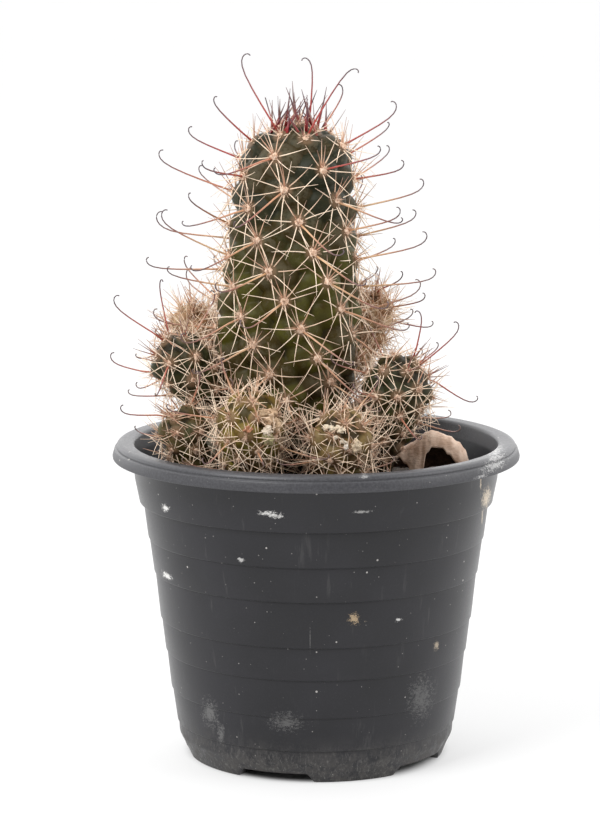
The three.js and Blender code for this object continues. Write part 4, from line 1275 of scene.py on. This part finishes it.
MAIN_TUFT = 1.3
OFFSET_TUFT = 0.95
HAIRS = 22
HAIR_RADIUS = 0.12
HAIR_POINT = 0.04
WHITE_HEIGHT = 150
GREYING = 70
wool_paint = Paint("areole_wool", roughness=0.95)
tuft_noise = wool_paint.noise(1.6, 4, 0.7)
wool_paint.colour((0.58, 0.33, 0.21))
wool_paint.lay(tuft_noise.smooth(0.35, 0.65), (0.93, 0.74, 0.58))
(aged,) = wool_paint.attributes("tone")
wool_paint.lay(aged * 0.45, (0.42, 0.29, 0.21))
wool_paint.bump(tuft_noise, 0.8, 0.4)
ball_places, ball_faces = ball(2)
for stem in stems:
    picks = random.Random(11)
    tufts, tones = [], []
    hairs = Spines(3, 2)
    for t in stem.tubercles:
        if t.tip[2] < BURIED:
            continue
        size = (MAIN_TUFT if stem.main else OFFSET_TUFT) * (0.6 + 0.4 * t.scale)
        lumps = 1 + 0.25 * np.array([picks.uniform(-1, 1) for _ in ball_places])[:, None]
        axes = np.stack([t.side, t.up, t.to * 0.62])
        tufts.append((ball_places * lumps * size) @ axes + t.tip - t.to * 0.15)
        old = clamped((WHITE_HEIGHT - t.tip[2]) / GREYING)
        tones.append(np.full(len(ball_places), old))
        for _ in range(HAIRS):
            wild = np.array([picks.gauss(0, 1) for _ in range(3)])
            run = np.linspace(0, picks.uniform(1.3, 2.3) * size, 3)
            hair = t.tip + np.outer(run, unit(t.to * 0.8 + wild * 0.8)) + t.to * 0.1
            hairs.add(hair, HAIR_RADIUS, HAIR_POINT, old)
    repeated(stem.name + "_wool", ball_faces, tufts, wool_paint, [stem.name], {"tone": tones})
    hairs.mesh(stem.name + "_wool_hairs", wool_paint, stem.slot, [stem.name])


# Floor, light and camera.
# The plant stands on a plain white sweep under broad soft light, seen from a little above.

CAMERA_HEIGHT = 275.54
CAMERA_DISTANCE = 1000.0
CAMERA_ASIDE = -5.06
CAMERA_PITCH = 0.165
CAMERA_LENS = 141.3
LAMP_AIM = (0, 0, 0.13)
POT_SHADE = (36, 43)

ground = bmesh.new()
bmesh.ops.create_grid(ground, x_segments=2, y_segments=2, size=9)
ground_mesh = bpy.data.meshes.new("floor")
ground.to_mesh(ground_mesh)
ground.free()
floor = bpy.data.objects.new("floor", ground_mesh)
bpy.context.scene.collection.objects.link(floor)
floor_paint = Paint("white_sweep", roughness=0.9, specular=0.1)
floor_paint.colour((0.36, 0.36, 0.36))
# The sweep glows softly so that it burns out to white, but not in the shade under the pot
ahead, sideways, _ = floor_paint.parts(floor_paint.spot)
clear = ((ahead * ahead + sideways * sideways) ** 0.5).smooth(*POT_SHADE)
glow = floor_paint.mix(clear, (0, 0, 0), (1, 1, 1))
floor_paint.feed(floor_paint.surface["Emission Color"], glow)
floor_paint.surface["Emission Strength"].default_value = 0.5
ground_mesh.materials.append(floor_paint.material)

world = bpy.data.worlds.new("studio")
bpy.context.scene.world = world
world.use_nodes = True
sky = Nodes(world.node_tree)
_, towards, overhead = sky.parts(sky.node("ShaderNodeTexCoord"))
walls = towards.smooth(-0.95, -0.1) * 0.8 + towards.smooth(0.0, 0.6) * 1.35 + 0.32
lit = walls * (1 - overhead.smooth(0.4, 0.95) * 0.25)
seen = sky.node("ShaderNodeLightPath")
background = world.node_tree.nodes["Background"]
sky.feed(background.inputs["Strength"], seen * 0.97 + (1 - seen) * lit)
background.inputs["Color"].default_value = (1, 1, 1, 1)
bpy.context.scene.view_settings.view_transform = "Standard"


def softbox(name, place, size, power):
    lamp = bpy.data.lights.new(name, "AREA")
    lamp.shape = "SQUARE"
    lamp.size = size
    lamp.energy = power
    box = bpy.data.objects.new(name, lamp)
    box.location = place
    box.rotation_euler = (Vector(LAMP_AIM) - Vector(place)).to_track_quat("-Z", "Y").to_euler()
    bpy.context.scene.collection.objects.link(box)


softbox("key_softbox", (-0.75, -0.75, 1.25), 0.7, 20)
softbox("fill_softbox", (1.1, -0.3, 0.8), 0.8, 7)

lens = bpy.data.cameras.new("camera")
lens.lens = CAMERA_LENS
lens.sensor_width = 36
camera = bpy.data.objects.new("camera", lens)
camera.location = (CAMERA_ASIDE * MM, -CAMERA_DISTANCE * MM, CAMERA_HEIGHT * MM)
camera.rotation_euler = (math.pi / 2 - CAMERA_PITCH, 0, 0)
bpy.context.scene.collection.objects.link(camera)
bpy.context.scene.camera = camera
